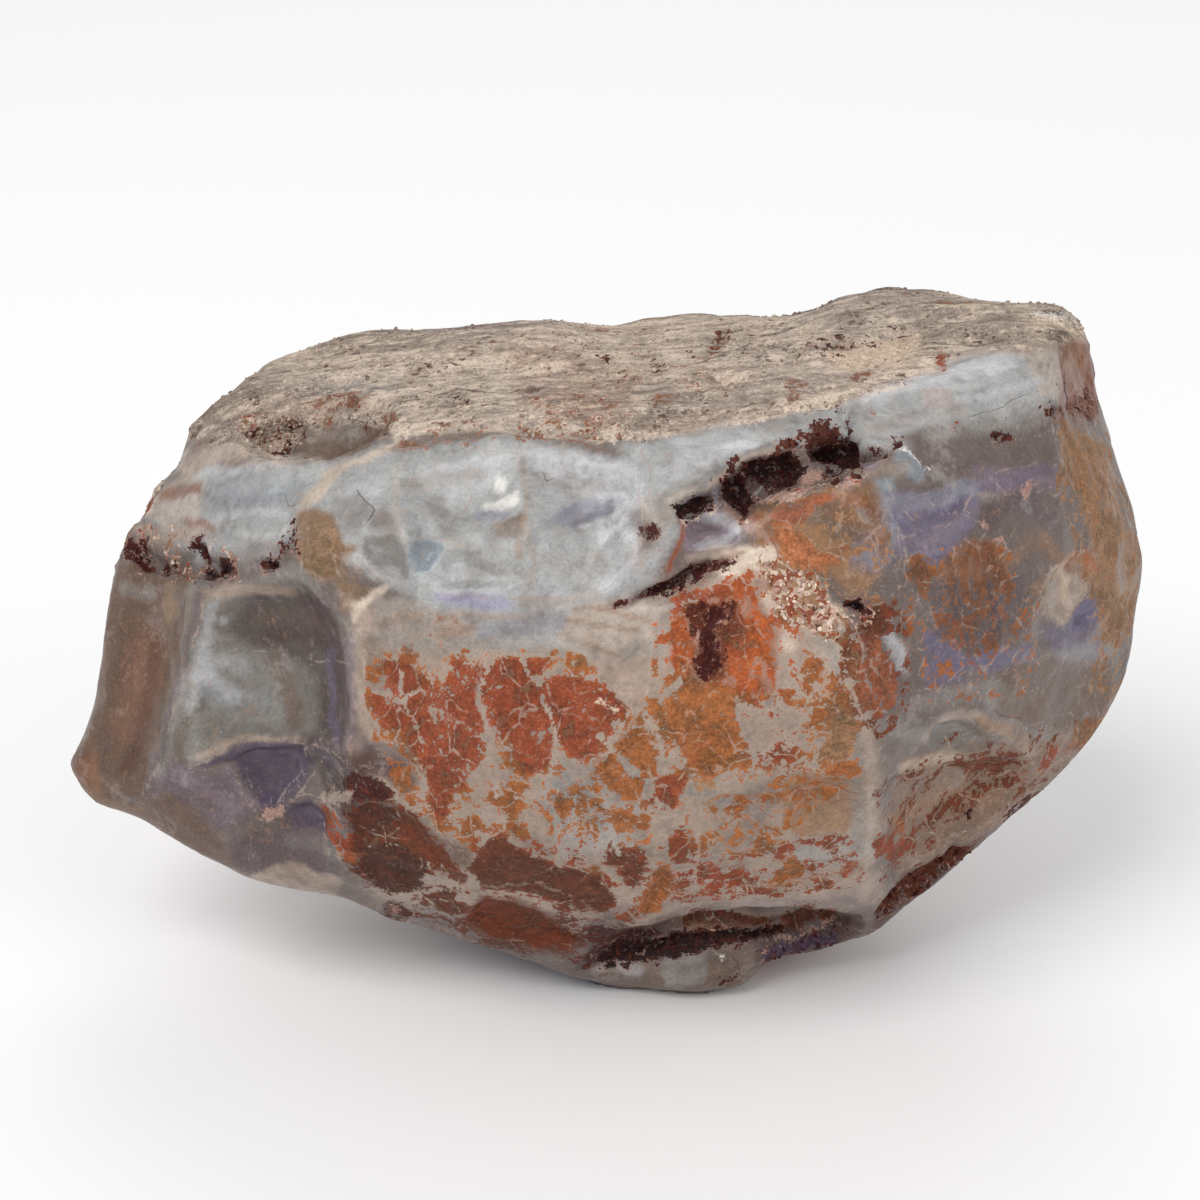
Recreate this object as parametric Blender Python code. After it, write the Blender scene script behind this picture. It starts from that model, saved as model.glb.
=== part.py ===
"""A rough opal: one natural stone, resting on a small flat spot under its belly.

The stone is modelled in metres with +Z up. +X runs along its length, to the right as photographed,
and +Y runs away from the photographed side. The origin is under the middle of the stone's box, on the
surface that it rests on. Corners on the photographed side are given as (pixel across, pixel down,
depth in millimetres): the first two are read from the 1200 x 1200 photograph, and the third is the
corner's Y, judged from the shading.
"""

import math

import bmesh
import bpy
import numpy as np
from mathutils import Vector, noise

MM = 0.001
LENGTH = 60.0 * MM
LENGTH_PIXELS = 1078.0
PIXEL = LENGTH / LENGTH_PIXELS
FRAME_CENTRE = 600.0
VIEW_DOWN = math.radians(22.0)
VIEW_DISTANCE = 158.0 * MM

BASE_LEVEL = -20.7 * MM
BASE_CUT = 0.25 * MM
REMESH_SIZE = 0.6 * MM
ROUNDING_PASSES = 3
MOST_TRIANGLES = 9000
BEARINGS = 360
EDGE_STEPS = 4
EDGE_STIFFNESS = 9
ROUGHNESS_SIZE = 5.0 * MM
ROUGHNESS_DEPTH = 0.35 * MM
SEED_OFFSET = Vector((3.7, 1.3, 8.1))

# The outline as photographed, clockwise from the toe at the far left.
OUTLINE = [
    (65, 767, -3),
    (83, 731, -2),
    (92, 700, -2),
    (98, 655, -1),
    (104, 612, -1),
    (114, 566, 0),
    (127, 534, 0),
    (146, 510, 1),
    (162, 486, 1),
    (178, 470, 2),
    (189, 436, 3),
    (210, 408, 5),
    (246, 377, 8),
    (290, 350, 12),
    (335, 335, 13),
    (376, 326, 14),
    (440, 323, 15),
    (500, 323, 15),
    (545, 317, 15),
    (576, 318, 15),
    (591, 328, 15),
    (640, 317, 15),
    (700, 313, 15),
    (745, 315, 14),
    (785, 318, 14),
    (815, 309, 15),
    (846, 294, 14),
    (888, 281, 13),
    (930, 280, 12),
    (956, 285, 11),
    (968, 295, 10),
    (1020, 298, 10),
    (1058, 303, 8),
    (1076, 315, 6),
    (1090, 345, 4),
    (1096, 388, 3),
    (1110, 438, 2),
    (1126, 486, 1),
    (1136, 525, 1),
    (1145, 560, 0),
    (1140, 600, 0),
    (1133, 640, -1),
    (1122, 685, -1),
    (1109, 715, -2),
    (1085, 750, -3),
    (1050, 786, -4),
    (1000, 829, -5),
    (952, 871, -6),
    (912, 903, -6),
    (884, 925, -7),
    (866, 938, -7),
    (830, 949, -7),
    (784, 956, -7),
    (760, 966, -8),
    (742, 987, -8),
    (700, 994, -8),
    (640, 990, -8),
    (600, 986, -8),
    (566, 976, -7),
    (530, 962, -7),
    (470, 944, -7),
    (430, 930, -8),
    (385, 917, -8),
    (345, 899, -9),
    (300, 891, -9),
    (245, 880, -8),
    (208, 862, -7),
    (160, 833, -6),
    (126, 814, -5),
    (96, 806, -4),
    (82, 790, -4),
]

# Corners inside the outline, on the photographed side.
FRONT_CORNERS = {
    "left_ridge_top": (204, 575, -6.5),
    "left_ridge_foot": (150, 790, -7.0),
    "block_rim_left": (245, 452, -3.0),
    "block_rim_right": (330, 462, -6.0),
    "scar_edge_top": (350, 620, -12.0),
    "scar_edge_foot": (357, 745, -13.5),
    "scar_lip": (345, 850, -12.0),
    "bump_rim_left": (400, 437, -7.5),
    "bump_rim": (480, 432, -8.0),
    "bump_rim_right": (600, 445, -8.5),
    "bump_left": (345, 530, -11.0),
    "bump_middle": (480, 540, -13.0),
    "bump_right": (610, 530, -13.0),
    "bump_foot": (470, 625, -14.5),
    "bump_foot_right": (600, 615, -15.0),
    "belly_left": (480, 750, -16.5),
    "belly": (680, 720, -17.5),
    "belly_right": (860, 700, -16.5),
    "belly_under_left": (520, 815, -16.0),
    "belly_under": (690, 800, -17.1),
    "belly_under_right": (845, 785, -15.7),
    "belly_low_left": (460, 872, -14.0),
    "belly_low": (620, 865, -15.5),
    "belly_low_right": (850, 850, -13.5),
    "lip_left": (560, 928, -11.5),
    "lip": (700, 915, -12.0),
    "lip_right": (860, 900, -10.5),
    "band_rim_left": (640, 438, -8.5),
    "band_rim": (800, 413, -8.0),
    "band_rim_right": (900, 387, -7.0),
    "corner_rim": (1050, 345, -3.5),
    "vug_edge": (880, 458, -12.5),
    "right_shoulder": (1060, 460, -7.5),
    "right_face_high": (965, 490, -11.6),
    "right_face_middle": (965, 600, -12.7),
    "right_face_low": (960, 760, -11.8),
    "right_face": (1070, 600, -8.0),
    "right_belly": (1000, 710, -11.0),
    "right_foot": (1045, 765, -6.0),
}

# Corners of the hump that stands on the crust at the back right.
HUMP = [
    (800, 322, 15),
    (838, 292, 14),
    (888, 278, 13),
    (932, 277, 12),
    (960, 283, 11),
    (968, 300, 9),
    (900, 348, 3),
    (800, 345, 8),
    (965, 420, 8),
    (800, 420, 12),
]

# Corners of the front of the knob below the belly, whose foot is the flat spot.
KNOB_FRONT = [
    (600, 983, -8.0),
    (640, 962, -9.5),
    (700, 946, -10.0),
    (742, 942, -9.5),
    (758, 960, -8.5),
    (748, 986, -8.5),
    (690, 992, -9.0),
]

# Corners of the resting flat, as (pixel across, depth in millimetres) at the base level.
RESTING_FLAT = [(610, -7.2), (742, -7.4), (805, -2.0), (800, 7.0), (640, 9.5), (560, 6.0), (556, -2.0)]

# Corners on the hidden side, as (x, y, z) in millimetres from the middle of the photograph's frame.
BACK_CORNERS = {
    "back_left_top": (-23.0, 9.0, 6.0),
    "back_left": (-21.5, 9.5, 0.0),
    "left_under": (-23.0, 1.0, -8.5),
    "back_ridge_left": (-13.0, 17.5, 4.5),
    "back_ridge_foot": (-12.0, 13.0, -10.0),
    "back_ridge_middle": (-1.0, 19.0, 0.5),
    "back_ridge_right": (12.0, 19.5, 4.0),
    "back_low_middle": (2.0, 16.0, -10.0),
    "back_foot": (5.0, 12.0, -17.5),
    "back_right_top": (21.0, 13.5, 9.0),
    "back_right": (22.0, 13.5, -1.0),
    "back_right_foot": (16.0, 9.5, -13.5),
    "right_back_edge": (27.0, 6.5, 3.0),
    "right_under": (24.0, 3.0, -7.5),
    "left_bottom": (-9.0, 4.0, -17.0),
    "right_bottom": (14.0, 1.0, -17.5),
}

# Shell-shaped breaks on the hidden side: a place near the skin, as above, and the radius and depth in
# millimetres.
BACK_SCARS = {
    "high_left": {"near": (-6.0, 18.5, 9.5), "radius": 8.5, "depth": 1.8},
    "high_right": {"near": (14.0, 18.0, 11.0), "radius": 7.0, "depth": 1.3},
    "low_right": {"near": (11.0, 18.0, -4.5), "radius": 8.0, "depth": 2.0},
    "low_middle": {"near": (-2.5, 16.5, -8.0), "radius": 7.5, "depth": 1.7},
    "low_left": {"near": (-15.0, 12.0, -4.0), "radius": 7.5, "depth": 1.5},
    "right_end": {"near": (25.5, 9.0, 3.0), "radius": 6.5, "depth": 1.3},
    "right_low": {"near": (19.0, 8.0, -11.0), "radius": 6.0, "depth": 1.2},
    "left_low": {"near": (-17.0, 3.0, -12.0), "radius": 6.0, "depth": 1.2},
}

# Hollows on the photographed side: outline in pixels, depth in millimetres, and how far in the full
# depth is reached, in pixels.
HOLLOWS = {
    "flake_scar": {
        "outline": [(212, 584), (300, 580), (338, 618), (350, 690), (345, 740), (290, 738), (230, 748),
                    (180, 775)],
        "depth": 2.2,
        "reach": 60,
    },
    "lower_scar": {
        "outline": [(190, 775), (235, 750), (300, 742), (345, 752), (338, 830), (325, 880), (240, 862),
                    (160, 812)],
        "depth": 1.3,
        "reach": 55,
    },
    "left_trough": {
        "outline": [(130, 580), (188, 586), (180, 690), (140, 775), (100, 770), (104, 680)],
        "depth": 0.9,
        "reach": 40,
    },
    "crust_hollow": {
        "outline": [(232, 440), (262, 410), (330, 396), (395, 398), (385, 430), (330, 456), (270, 452)],
        "depth": 2.4,
        "reach": 30,
    },
    "top_sag": {
        "outline": [(600, 300), (800, 300), (800, 345), (700, 350), (600, 350)],
        "depth": 0.8,
        "reach": 30,
    },
    "bump_dish": {
        "outline": [(405, 470), (505, 455), (520, 530), (505, 590), (430, 590), (405, 540)],
        "depth": 0.55,
        "reach": 45,
    },
    "bump_dish_right": {
        "outline": [(530, 465), (630, 465), (635, 540), (600, 600), (535, 600)],
        "depth": 0.6,
        "reach": 45,
    },
    "long_vug": {
        "outline": [(668, 505), (700, 488), (740, 462), (800, 436), (845, 410), (862, 440), (896, 448),
                    (845, 470), (800, 490), (740, 520), (690, 524)],
        "depth": 1.9,
        "reach": 14,
    },
    "lower_vug": {
        "outline": [(616, 603), (650, 586), (690, 568), (738, 552), (700, 582), (662, 600)],
        "depth": 1.5,
        "reach": 9,
    },
    "left_vug": {
        "outline": [(122, 545), (150, 528), (190, 545), (245, 560), (238, 580), (190, 578), (140, 572)],
        "depth": 1.0,
        "reach": 12,
    },
    "undercut": {
        "outline": [(590, 972), (640, 930), (700, 916), (790, 914), (862, 922), (850, 950), (770, 960),
                    (756, 934), (700, 930), (640, 952)],
        "depth": 3.4,
        "reach": 18,
    },
    "right_chip": {
        "outline": [(1045, 590), (1085, 578), (1105, 610), (1085, 640), (1040, 655), (1032, 620)],
        "depth": 0.5,
        "reach": 22,
    },
    "low_right_chip": {
        "outline": [(905, 735), (950, 718), (1000, 740), (1045, 775), (960, 840), (890, 880),
                    (880, 800)],
        "depth": 0.9,
        "reach": 40,
    },
}

EYE = Vector((0.0, -math.cos(VIEW_DOWN), math.sin(VIEW_DOWN))) * VIEW_DISTANCE
FORWARD = -EYE.normalized()
RIGHT = Vector((1.0, 0.0, 0.0))
UP = RIGHT.cross(FORWARD)


def on_sight_line(across, down, depth_mm):
    """The point with that depth on the line of sight through a pixel."""
    aim = FORWARD * VIEW_DISTANCE
    aim += RIGHT * (across - FRAME_CENTRE) * PIXEL
    aim += UP * (FRAME_CENTRE - down) * PIXEL
    return EYE + aim * ((depth_mm * MM - EYE.y) / aim.y)


def on_resting_level(across, depth_mm):
    """A corner of the resting flat: its depth is given, and its height is the base level."""
    return Vector(((across - FRAME_CENTRE) * PIXEL, depth_mm * MM, BASE_LEVEL))


def clear_scene():
    for item in list(bpy.data.objects):
        bpy.data.objects.remove(item, do_unlink=True)


def hull_of(name, points):
    """A closed convex solid around the points."""
    mesh = bmesh.new()
    for point in points:
        mesh.verts.new(point)
    made = bmesh.ops.convex_hull(mesh, input=mesh.verts)
    left_over = made["geom_interior"] + made["geom_unused"]
    inside = {item for item in left_over if isinstance(item, bmesh.types.BMVert)}
    bmesh.ops.delete(mesh, geom=list(inside), context="VERTS")
    bmesh.ops.recalc_face_normals(mesh, faces=mesh.faces)
    data = bpy.data.meshes.new(name)
    mesh.to_mesh(data)
    mesh.free()
    solid = bpy.data.objects.new(name, data)
    bpy.context.collection.objects.link(solid)
    return solid


def apply_modifiers(solid):
    """Bakes the object's modifiers into its mesh."""
    graph = bpy.context.evaluated_depsgraph_get()
    made = bpy.data.meshes.new_from_object(solid.evaluated_get(graph))
    solid.modifiers.clear()
    solid.data = made


def joined(solid, lumps):
    """Joins the lumps to the solid, and leaves one even skin over them all."""
    for lump in lumps:
        union = solid.modifiers.new("join_" + lump.name, "BOOLEAN")
        union.operation = "UNION"
        union.object = lump
    skin = solid.modifiers.new("skin", "REMESH")
    skin.mode = "VOXEL"
    skin.voxel_size = REMESH_SIZE
    apply_modifiers(solid)
    for lump in lumps:
        bpy.data.objects.remove(lump, do_unlink=True)


def corners_of(data):
    points = np.empty(len(data.vertices) * 3)
    data.vertices.foreach_get("co", points)
    return points.reshape(-1, 3)


def normals_of(data):
    normals = np.empty(len(data.vertices) * 3)
    data.vertex_normals.foreach_get("vector", normals)
    return normals.reshape(-1, 3)


def pixels_of(points):
    """Where each point is seen in the photograph."""
    seen = points - np.array(EYE)
    scale = VIEW_DISTANCE / PIXEL / (seen @ np.array(FORWARD))
    across = FRAME_CENTRE + (seen @ np.array(RIGHT)) * scale
    down = FRAME_CENTRE - (seen @ np.array(UP)) * scale
    return np.stack([across, down], axis=1)


def depth_inside(pixels, outline):
    """How far inside the outline each pixel is, in pixels, and negative outside it."""
    corners = np.array(outline, float)
    nearest = np.full(len(pixels), np.inf)
    crossings = np.zeros(len(pixels), int)
    for start, end in zip(corners, np.roll(corners, -1, axis=0)):
        run = end - start
        along = np.clip((pixels - start) @ run / (run @ run), 0, 1)
        nearest = np.minimum(nearest, np.linalg.norm(pixels - start - along[:, None] * run, axis=1))
        spans = (start[1] > pixels[:, 1]) != (end[1] > pixels[:, 1])
        rise = run[1] if run[1] else 1e-9
        crossing_at = start[0] + (pixels[:, 1] - start[1]) / rise * run[0]
        crossings += spans & (pixels[:, 0] < crossing_at)
    return np.where(crossings % 2 == 1, nearest, -nearest)


def fit_outline(solid):
    """Draws the stone's edge, as seen from the photographed side, out or in to the outline."""
    data = solid.data
    points = corners_of(data)
    offsets = pixels_of(points) - FRAME_CENTRE
    bearing = np.arctan2(offsets[:, 1], offsets[:, 0])
    reach = np.linalg.norm(offsets, axis=1)
    ends = np.array([edge.vertices[:] for edge in data.edges])
    edge = np.zeros(BEARINGS)
    for step in range(EDGE_STEPS):
        between = offsets[ends[:, 0]] + (offsets[ends[:, 1]] - offsets[ends[:, 0]]) * step / EDGE_STEPS
        turn = (np.arctan2(between[:, 1], between[:, 0]) + math.pi) / (2 * math.pi)
        bins = np.floor(turn * BEARINGS).astype(int) % BEARINGS
        np.maximum.at(edge, bins, np.linalg.norm(between, axis=1))
    middles = (np.arange(BEARINGS) + 0.5) / BEARINGS * 2 * math.pi - math.pi
    drawn = reach_of_outline(middles)
    gain = np.interp(bearing, middles, drawn / edge, period=2 * math.pi)
    share = reach / np.interp(bearing, middles, edge, period=2 * math.pi)
    shift = offsets * ((gain - 1) * share**EDGE_STIFFNESS)[:, None] * PIXEL
    points += shift[:, :1] * np.array(RIGHT) - shift[:, 1:] * np.array(UP)
    data.vertices.foreach_set("co", points.ravel())
    data.update()


def reach_of_outline(bearings):
    """How far the outline is from the frame's centre on each bearing, in pixels."""
    corners = np.array([corner[:2] for corner in OUTLINE], float) - FRAME_CENTRE
    reach = np.zeros(len(bearings))
    for start, end in zip(corners, np.roll(corners, -1, axis=0)):
        run = end - start
        for index, bearing in enumerate(bearings):
            ray = np.array([math.cos(bearing), math.sin(bearing)])
            across = ray[0] * run[1] - ray[1] * run[0]
            if abs(across) < 1e-9:
                continue
            far = (start[0] * run[1] - start[1] * run[0]) / across
            along = (start[0] * ray[1] - start[1] * ray[0]) / across
            if far > 0 and 0 <= along <= 1:
                reach[index] = max(reach[index], far)
    return reach


def carve(solid):
    """Sinks each hollow below the skin, along the skin's own slope."""
    data = solid.data
    points, normals = corners_of(data), normals_of(data)
    sight = points - np.array(EYE)
    sight /= np.linalg.norm(sight, axis=1)[:, None]
    facing = np.clip(-(normals * sight).sum(1) * 4.0, 0, 1)
    pixels = pixels_of(points)
    sunk = np.zeros(len(points))
    for hollow in HOLLOWS.values():
        share = np.clip(depth_inside(pixels, hollow["outline"]) / hollow["reach"], 0, 1)
        sunk += hollow["depth"] * MM * share * (2 - share)
    points -= normals * (sunk * facing)[:, None]
    data.vertices.foreach_set("co", points.ravel())
    data.update()


def chip_back(solid):
    """Sinks the breaks of the hidden side, each around the point of the skin nearest its place."""
    data = solid.data
    points, normals = corners_of(data), normals_of(data)
    sunk = np.zeros(len(points))
    for scar in BACK_SCARS.values():
        away = np.linalg.norm(points - np.array(scar["near"]) * MM, axis=1)
        middle = points[away.argmin()]
        share = np.linalg.norm(points - middle, axis=1) / (scar["radius"] * MM)
        sunk = np.maximum(sunk, scar["depth"] * MM * (1 - share**2))
    points -= normals * sunk[:, None]
    data.vertices.foreach_set("co", points.ravel())
    data.update()


def roughen(solid):
    """Gives the broad faces the slow unevenness of broken stone."""
    data = solid.data
    points, normals = corners_of(data), normals_of(data)
    for index, point in enumerate(points):
        place = Vector(point) / ROUGHNESS_SIZE + SEED_OFFSET
        rise = noise.fractal(place, 0.9, 2.0, 3) * ROUGHNESS_DEPTH
        points[index] += normals[index] * rise
    data.vertices.foreach_set("co", points.ravel())
    data.update()


def round_off(solid):
    """Takes the sharpness off the edges and the hollows' rims."""
    rounding = solid.modifiers.new("rounding", "SMOOTH")
    rounding.factor = 0.5
    rounding.iterations = ROUNDING_PASSES
    apply_modifiers(solid)


def thin_and_cut(solid):
    """Thins the skin to the triangles that its shape needs, and cuts the resting flat."""
    solid.data.calc_loop_triangles()
    thinning = solid.modifiers.new("thinning", "DECIMATE")
    thinning.ratio = MOST_TRIANGLES / len(solid.data.loop_triangles)
    apply_modifiers(solid)

    mesh = bmesh.new()
    mesh.from_mesh(solid.data)
    bmesh.ops.triangulate(mesh, faces=mesh.faces)
    lowest = min(corner.co.z for corner in mesh.verts)
    level = Vector((0.0, 0.0, lowest + BASE_CUT))
    everything = list(mesh.verts) + list(mesh.edges) + list(mesh.faces)
    bmesh.ops.bisect_plane(mesh, geom=everything, plane_co=level, plane_no=(0, 0, -1), clear_outer=True)
    rim = [edge for edge in mesh.edges if edge.is_boundary]
    bmesh.ops.triangle_fill(mesh, edges=rim, use_beauty=True)
    bmesh.ops.recalc_face_normals(mesh, faces=mesh.faces)
    mesh.to_mesh(solid.data)
    mesh.free()


def stand_on_origin(solid):
    """Puts the middle of the stone's box over the origin, with the resting flat at height zero, and
    says where the middle of the photograph's frame has gone."""
    points = corners_of(solid.data)
    low, high = points.min(0), points.max(0)
    moved = np.array([(low[0] + high[0]) / 2, (low[1] + high[1]) / 2, low[2]])
    solid.data.vertices.foreach_set("co", (points - moved).ravel())
    solid.data.update()
    solid["photograph_middle"] = (-moved).tolist()
    print("middle of the photograph's frame, in mm:", np.round(-moved / MM, 2))


def opal_material():
    made = bpy.data.materials.new("rough_opal")
    made.use_nodes = True
    shader = made.node_tree.nodes["Principled BSDF"]
    shader.inputs["Base Color"].default_value = (0.42, 0.34, 0.28, 1.0)
    shader.inputs["Roughness"].default_value = 0.42
    shader.inputs["Metallic"].default_value = 0.0
    return made


def main():
    clear_scene()
    photographed = [on_sight_line(*corner) for corner in OUTLINE]
    photographed += [on_sight_line(*corner) for corner in FRONT_CORNERS.values()]
    hidden = [Vector(corner) * MM for corner in BACK_CORNERS.values()]
    flat = [on_resting_level(*corner) for corner in RESTING_FLAT]
    stone = hull_of("opal", photographed + hidden + flat)
    hump = hull_of("hump", [on_sight_line(*corner) for corner in HUMP])
    knob = hull_of("knob", [on_sight_line(*corner) for corner in KNOB_FRONT] + flat)
    joined(stone, [hump, knob])
    carve(stone)
    chip_back(stone)
    roughen(stone)
    round_off(stone)
    fit_outline(stone)
    thin_and_cut(stone)
    stand_on_origin(stone)
    stone.data.materials.append(opal_material())
    stone.data.shade_flat()


main()
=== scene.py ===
import math

import bmesh
import bpy
import numpy as np
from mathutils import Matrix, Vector


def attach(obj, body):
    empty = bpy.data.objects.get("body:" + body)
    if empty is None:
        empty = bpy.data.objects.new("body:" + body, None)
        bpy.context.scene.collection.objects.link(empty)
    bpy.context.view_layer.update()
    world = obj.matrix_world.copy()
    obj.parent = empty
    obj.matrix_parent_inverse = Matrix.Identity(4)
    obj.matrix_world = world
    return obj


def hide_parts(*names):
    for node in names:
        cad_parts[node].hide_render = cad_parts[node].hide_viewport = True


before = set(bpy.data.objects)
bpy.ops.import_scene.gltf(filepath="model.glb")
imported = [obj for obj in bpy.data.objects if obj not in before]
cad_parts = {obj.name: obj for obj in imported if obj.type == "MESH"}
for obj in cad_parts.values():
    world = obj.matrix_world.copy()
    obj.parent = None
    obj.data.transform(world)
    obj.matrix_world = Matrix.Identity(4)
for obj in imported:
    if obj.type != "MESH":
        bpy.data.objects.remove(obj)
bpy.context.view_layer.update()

mm = 0.001
random = np.random.default_rng(11)

# Where the photograph was taken from. Marks on the stone are given in its pixels.
photoView = {
    "middle": (-0.19 * mm, -0.98 * mm, 20.64 * mm),  # the point at the frame's centre
    "distance": 158 * mm,
    "down": math.radians(22),
    "pixel": 60 * mm / 1078,  # what one pixel covers at that distance
    "width": 1200,
}


# Colours as they look in daylight, from 0 to 255.
pigments = {
    "blush": (196, 160, 146),
    "brick": (140, 80, 54),
    "apricot": (166, 104, 68),
    "bark": (116, 76, 54),
    "russet": (100, 48, 27),
    "haze": (150, 140, 132),
    "dusk": (92, 78, 80),
    "loam": (102, 80, 67),
    "milk": (164, 145, 131),
    "vein": (168, 148, 134),
    "smoke": (108, 94, 89),
    "ice": (160, 160, 159),
    "mist": (134, 130, 124),
    "pearl": (192, 191, 194),
    "white": (222, 218, 212),
    "slate": (134, 134, 144),
    "fog": (146, 141, 138),
    "taupe": (112, 94, 82),
    "beige": (184, 168, 154),
    "cream": (222, 203, 184),
    "sand": (204, 183, 162),
    "honey": (134, 107, 82),
    "ochre": (152, 91, 48),
    "orange": (162, 82, 42),
    "rust": (134, 63, 37),
    "tan": (144, 108, 78),
    "umber": (70, 36, 25),
    "chestnut": (90, 46, 30),
    "maroon": (60, 20, 20),
    "hematite": (26, 10, 13),
    "violet": (104, 97, 122),
    "ink": (76, 64, 82),
    "mauve": (104, 90, 96),
    "lilac": (152, 148, 170),
    "lavender": (124, 108, 117),
    "teal": (136, 144, 150),
    "sage": (116, 110, 104),
    "olive": (98, 85, 73),
    "rose": (172, 134, 120),
    "clay": (134, 96, 78),
    "shadow": (72, 58, 53),
}
pigmentTone = 0.97  # what the studio's light adds is taken off here


def colourOf(pigment):
    share = np.array(pigments[pigment]) / 255 * pigmentTone
    return np.where(share < 0.04045, share / 12.92, ((share + 0.055) / 1.055) ** 2.4)


def ease(share):
    share = np.clip(share, 0, 1)
    return share * share * (3 - 2 * share)


def cloud(points, size, seed, octaves=2):  # smooth noise from -1 to 1, with features of the given size
    total = np.zeros(len(points))
    for octave in range(octaves):
        place = points / size * 2**octave + seed * 7.31
        cell = np.floor(place).astype(np.int64)
        part = ease(place - cell)
        for corner in range(8):
            step = np.array([corner & 1, corner >> 1 & 1, corner >> 2])
            share = np.where(step, part, 1 - part).prod(1)
            across, along, up = (cell + step).T
            code = (across * 73856093 ^ along * 19349663 ^ up * 83492791 ^ (seed + octave) * 40503) & 0xFFFFF
            code = (code * (code * code * 15731 + 789221) + 1376312589) & 0x7FFFFFFF
            total += share * (code / 2**30 - 1) / 2**octave
    return total


def towards(colours, goal, share):  # colours moved a share of the way to a pigment or to other colours
    goal = colourOf(goal) if isinstance(goal, str) else goal
    return colours + (goal - colours) * np.reshape(share, (-1, 1))


# The photograph's plane

sight = np.array([0, math.cos(photoView["down"]), -math.sin(photoView["down"])])
upward = np.array([0, math.sin(photoView["down"]), math.cos(photoView["down"])])
eye = np.array(photoView["middle"]) - sight * photoView["distance"]


def seenAt(points):  # where each point falls in the photograph
    seen = points - eye
    scale = photoView["distance"] / photoView["pixel"] / (seen @ sight)
    return photoView["width"] / 2 + np.stack([seen[:, 0] * scale, -(seen @ upward) * scale], 1)


def seenShare(points, normals):  # 1 where the photograph shows the skin, 0 where it doesn't
    aim = points - eye
    aim /= np.linalg.norm(aim, axis=1)[:, None]
    return ease(-(normals * aim).sum(1) * 7)


def nearRoute(pixels, text, reach, closed=True):  # the vertices near a route, and how far and on which side
    corners = np.array([pair.split(",") for pair in text.split()], float)
    low = corners.min(0) - reach
    high = corners.max(0) + reach
    near = np.flatnonzero(((pixels > low) & (pixels < high)).all(1))
    spots = pixels[near]
    nearest = np.full(len(near), 1e9)
    side = np.ones(len(near))
    inside = np.zeros(len(near), bool)
    ends = np.roll(corners, -1, axis=0)
    for start, end in list(zip(corners, ends))[: None if closed else -1]:
        run = end - start
        offset = spots - start
        along = np.clip(offset @ run / max(run @ run, 1e-9), 0, 1)
        away = np.linalg.norm(offset - along[:, None] * run, axis=1)
        closer = away < nearest
        nearest[closer] = away[closer]
        side[closer] = np.sign(run[0] * offset[closer, 1] - run[1] * offset[closer, 0])
        spans = (start[1] > spots[:, 1]) != (end[1] > spots[:, 1])
        if run[1]:
            inside ^= spans & (spots[:, 0] < start[0] + (spots[:, 1] - start[1]) / run[1] * run[0])
    if closed:
        side = np.where(inside, 1, -1)
    return near, nearest, nearest * side


# The stone's mesh

stoneShape = {
    "grid": 0.268 * mm,
    "nearScale": 1.25,  # the mesh is this much finer on the photographed side
    "farScale": 0.4,
    "farDepth": (-13 * mm, 5 * mm),  # where it turns coarser
    "smoothing": 4,
    "flat": 0.15 * mm,  # what is lower than this lies on the floor
    "wobble": 3.2,  # how far a mark's edge strays, in pixels
    "wobbleSize": 1.1 * mm,
}


def plainMesh(thing):  # the mesh as its modifiers leave it
    made = bpy.data.meshes.new_from_object(thing.evaluated_get(bpy.context.evaluated_depsgraph_get()))
    thing.modifiers.clear()
    thing.data = made
    return made


def arrayOf(items, field, width=3, kind=float):
    values = np.empty(len(items) * width, kind)
    items.foreach_get(field, values)
    return values.reshape(-1, width) if width > 1 else values


def scaleAt(depth):
    near, far = stoneShape["farDepth"]
    fall = stoneShape["nearScale"] - stoneShape["farScale"]
    return stoneShape["nearScale"] - fall * ease((depth - near) / (far - near))


depthSteps = np.linspace(-30 * mm, 30 * mm, 601)  # 0.1 mm apart
swollenSteps = np.cumsum(scaleAt(depthSteps)) * 0.1 * mm


def swell(points):  # enlarges the photographed side, so that an even grid is finer there
    depth = np.interp(points[:, 1], depthSteps, swollenSteps)
    scale = scaleAt(points[:, 1])
    return np.stack([points[:, 0] * scale, depth, points[:, 2] * scale], 1)


def shrinkBack(points):
    depth = np.interp(points[:, 1], swollenSteps, depthSteps)
    scale = scaleAt(depth)
    return np.stack([points[:, 0] / scale, depth, points[:, 2] / scale], 1)


def fineSkin():
    melted = bmesh.new()
    melted.from_mesh(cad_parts["opal"].data)
    bmesh.ops.remove_doubles(melted, verts=melted.verts, dist=0.001 * mm)
    mesh = bpy.data.meshes.new("opalStone")
    melted.to_mesh(mesh)
    melted.free()
    mesh.vertices.foreach_set("co", swell(arrayOf(mesh.vertices, "co")).ravel())
    stone = bpy.data.objects.new("opalStone", mesh)
    bpy.context.scene.collection.objects.link(stone)
    skin = stone.modifiers.new("skin", "REMESH")
    skin.mode = "VOXEL"
    skin.voxel_size = stoneShape["grid"]
    mesh = plainMesh(stone)
    mesh.vertices.foreach_set("co", shrinkBack(arrayOf(mesh.vertices, "co")).ravel())
    return stone, mesh


def smoothed(mesh, values, rounds):  # each vertex's values, evened out with its neighbours'
    ends = arrayOf(mesh.edges, "vertices", 2, np.int32)
    count = np.bincount(ends.ravel(), minlength=len(values))[:, None]
    for _ in range(rounds):
        total = np.zeros_like(values)
        for axis in range(3):
            total[:, axis] += np.bincount(ends[:, 0], values[ends[:, 1], axis], len(values))
            total[:, axis] += np.bincount(ends[:, 1], values[ends[:, 0], axis], len(values))
        values = values * 0.5 + total / count * 0.5
    return values


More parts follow.
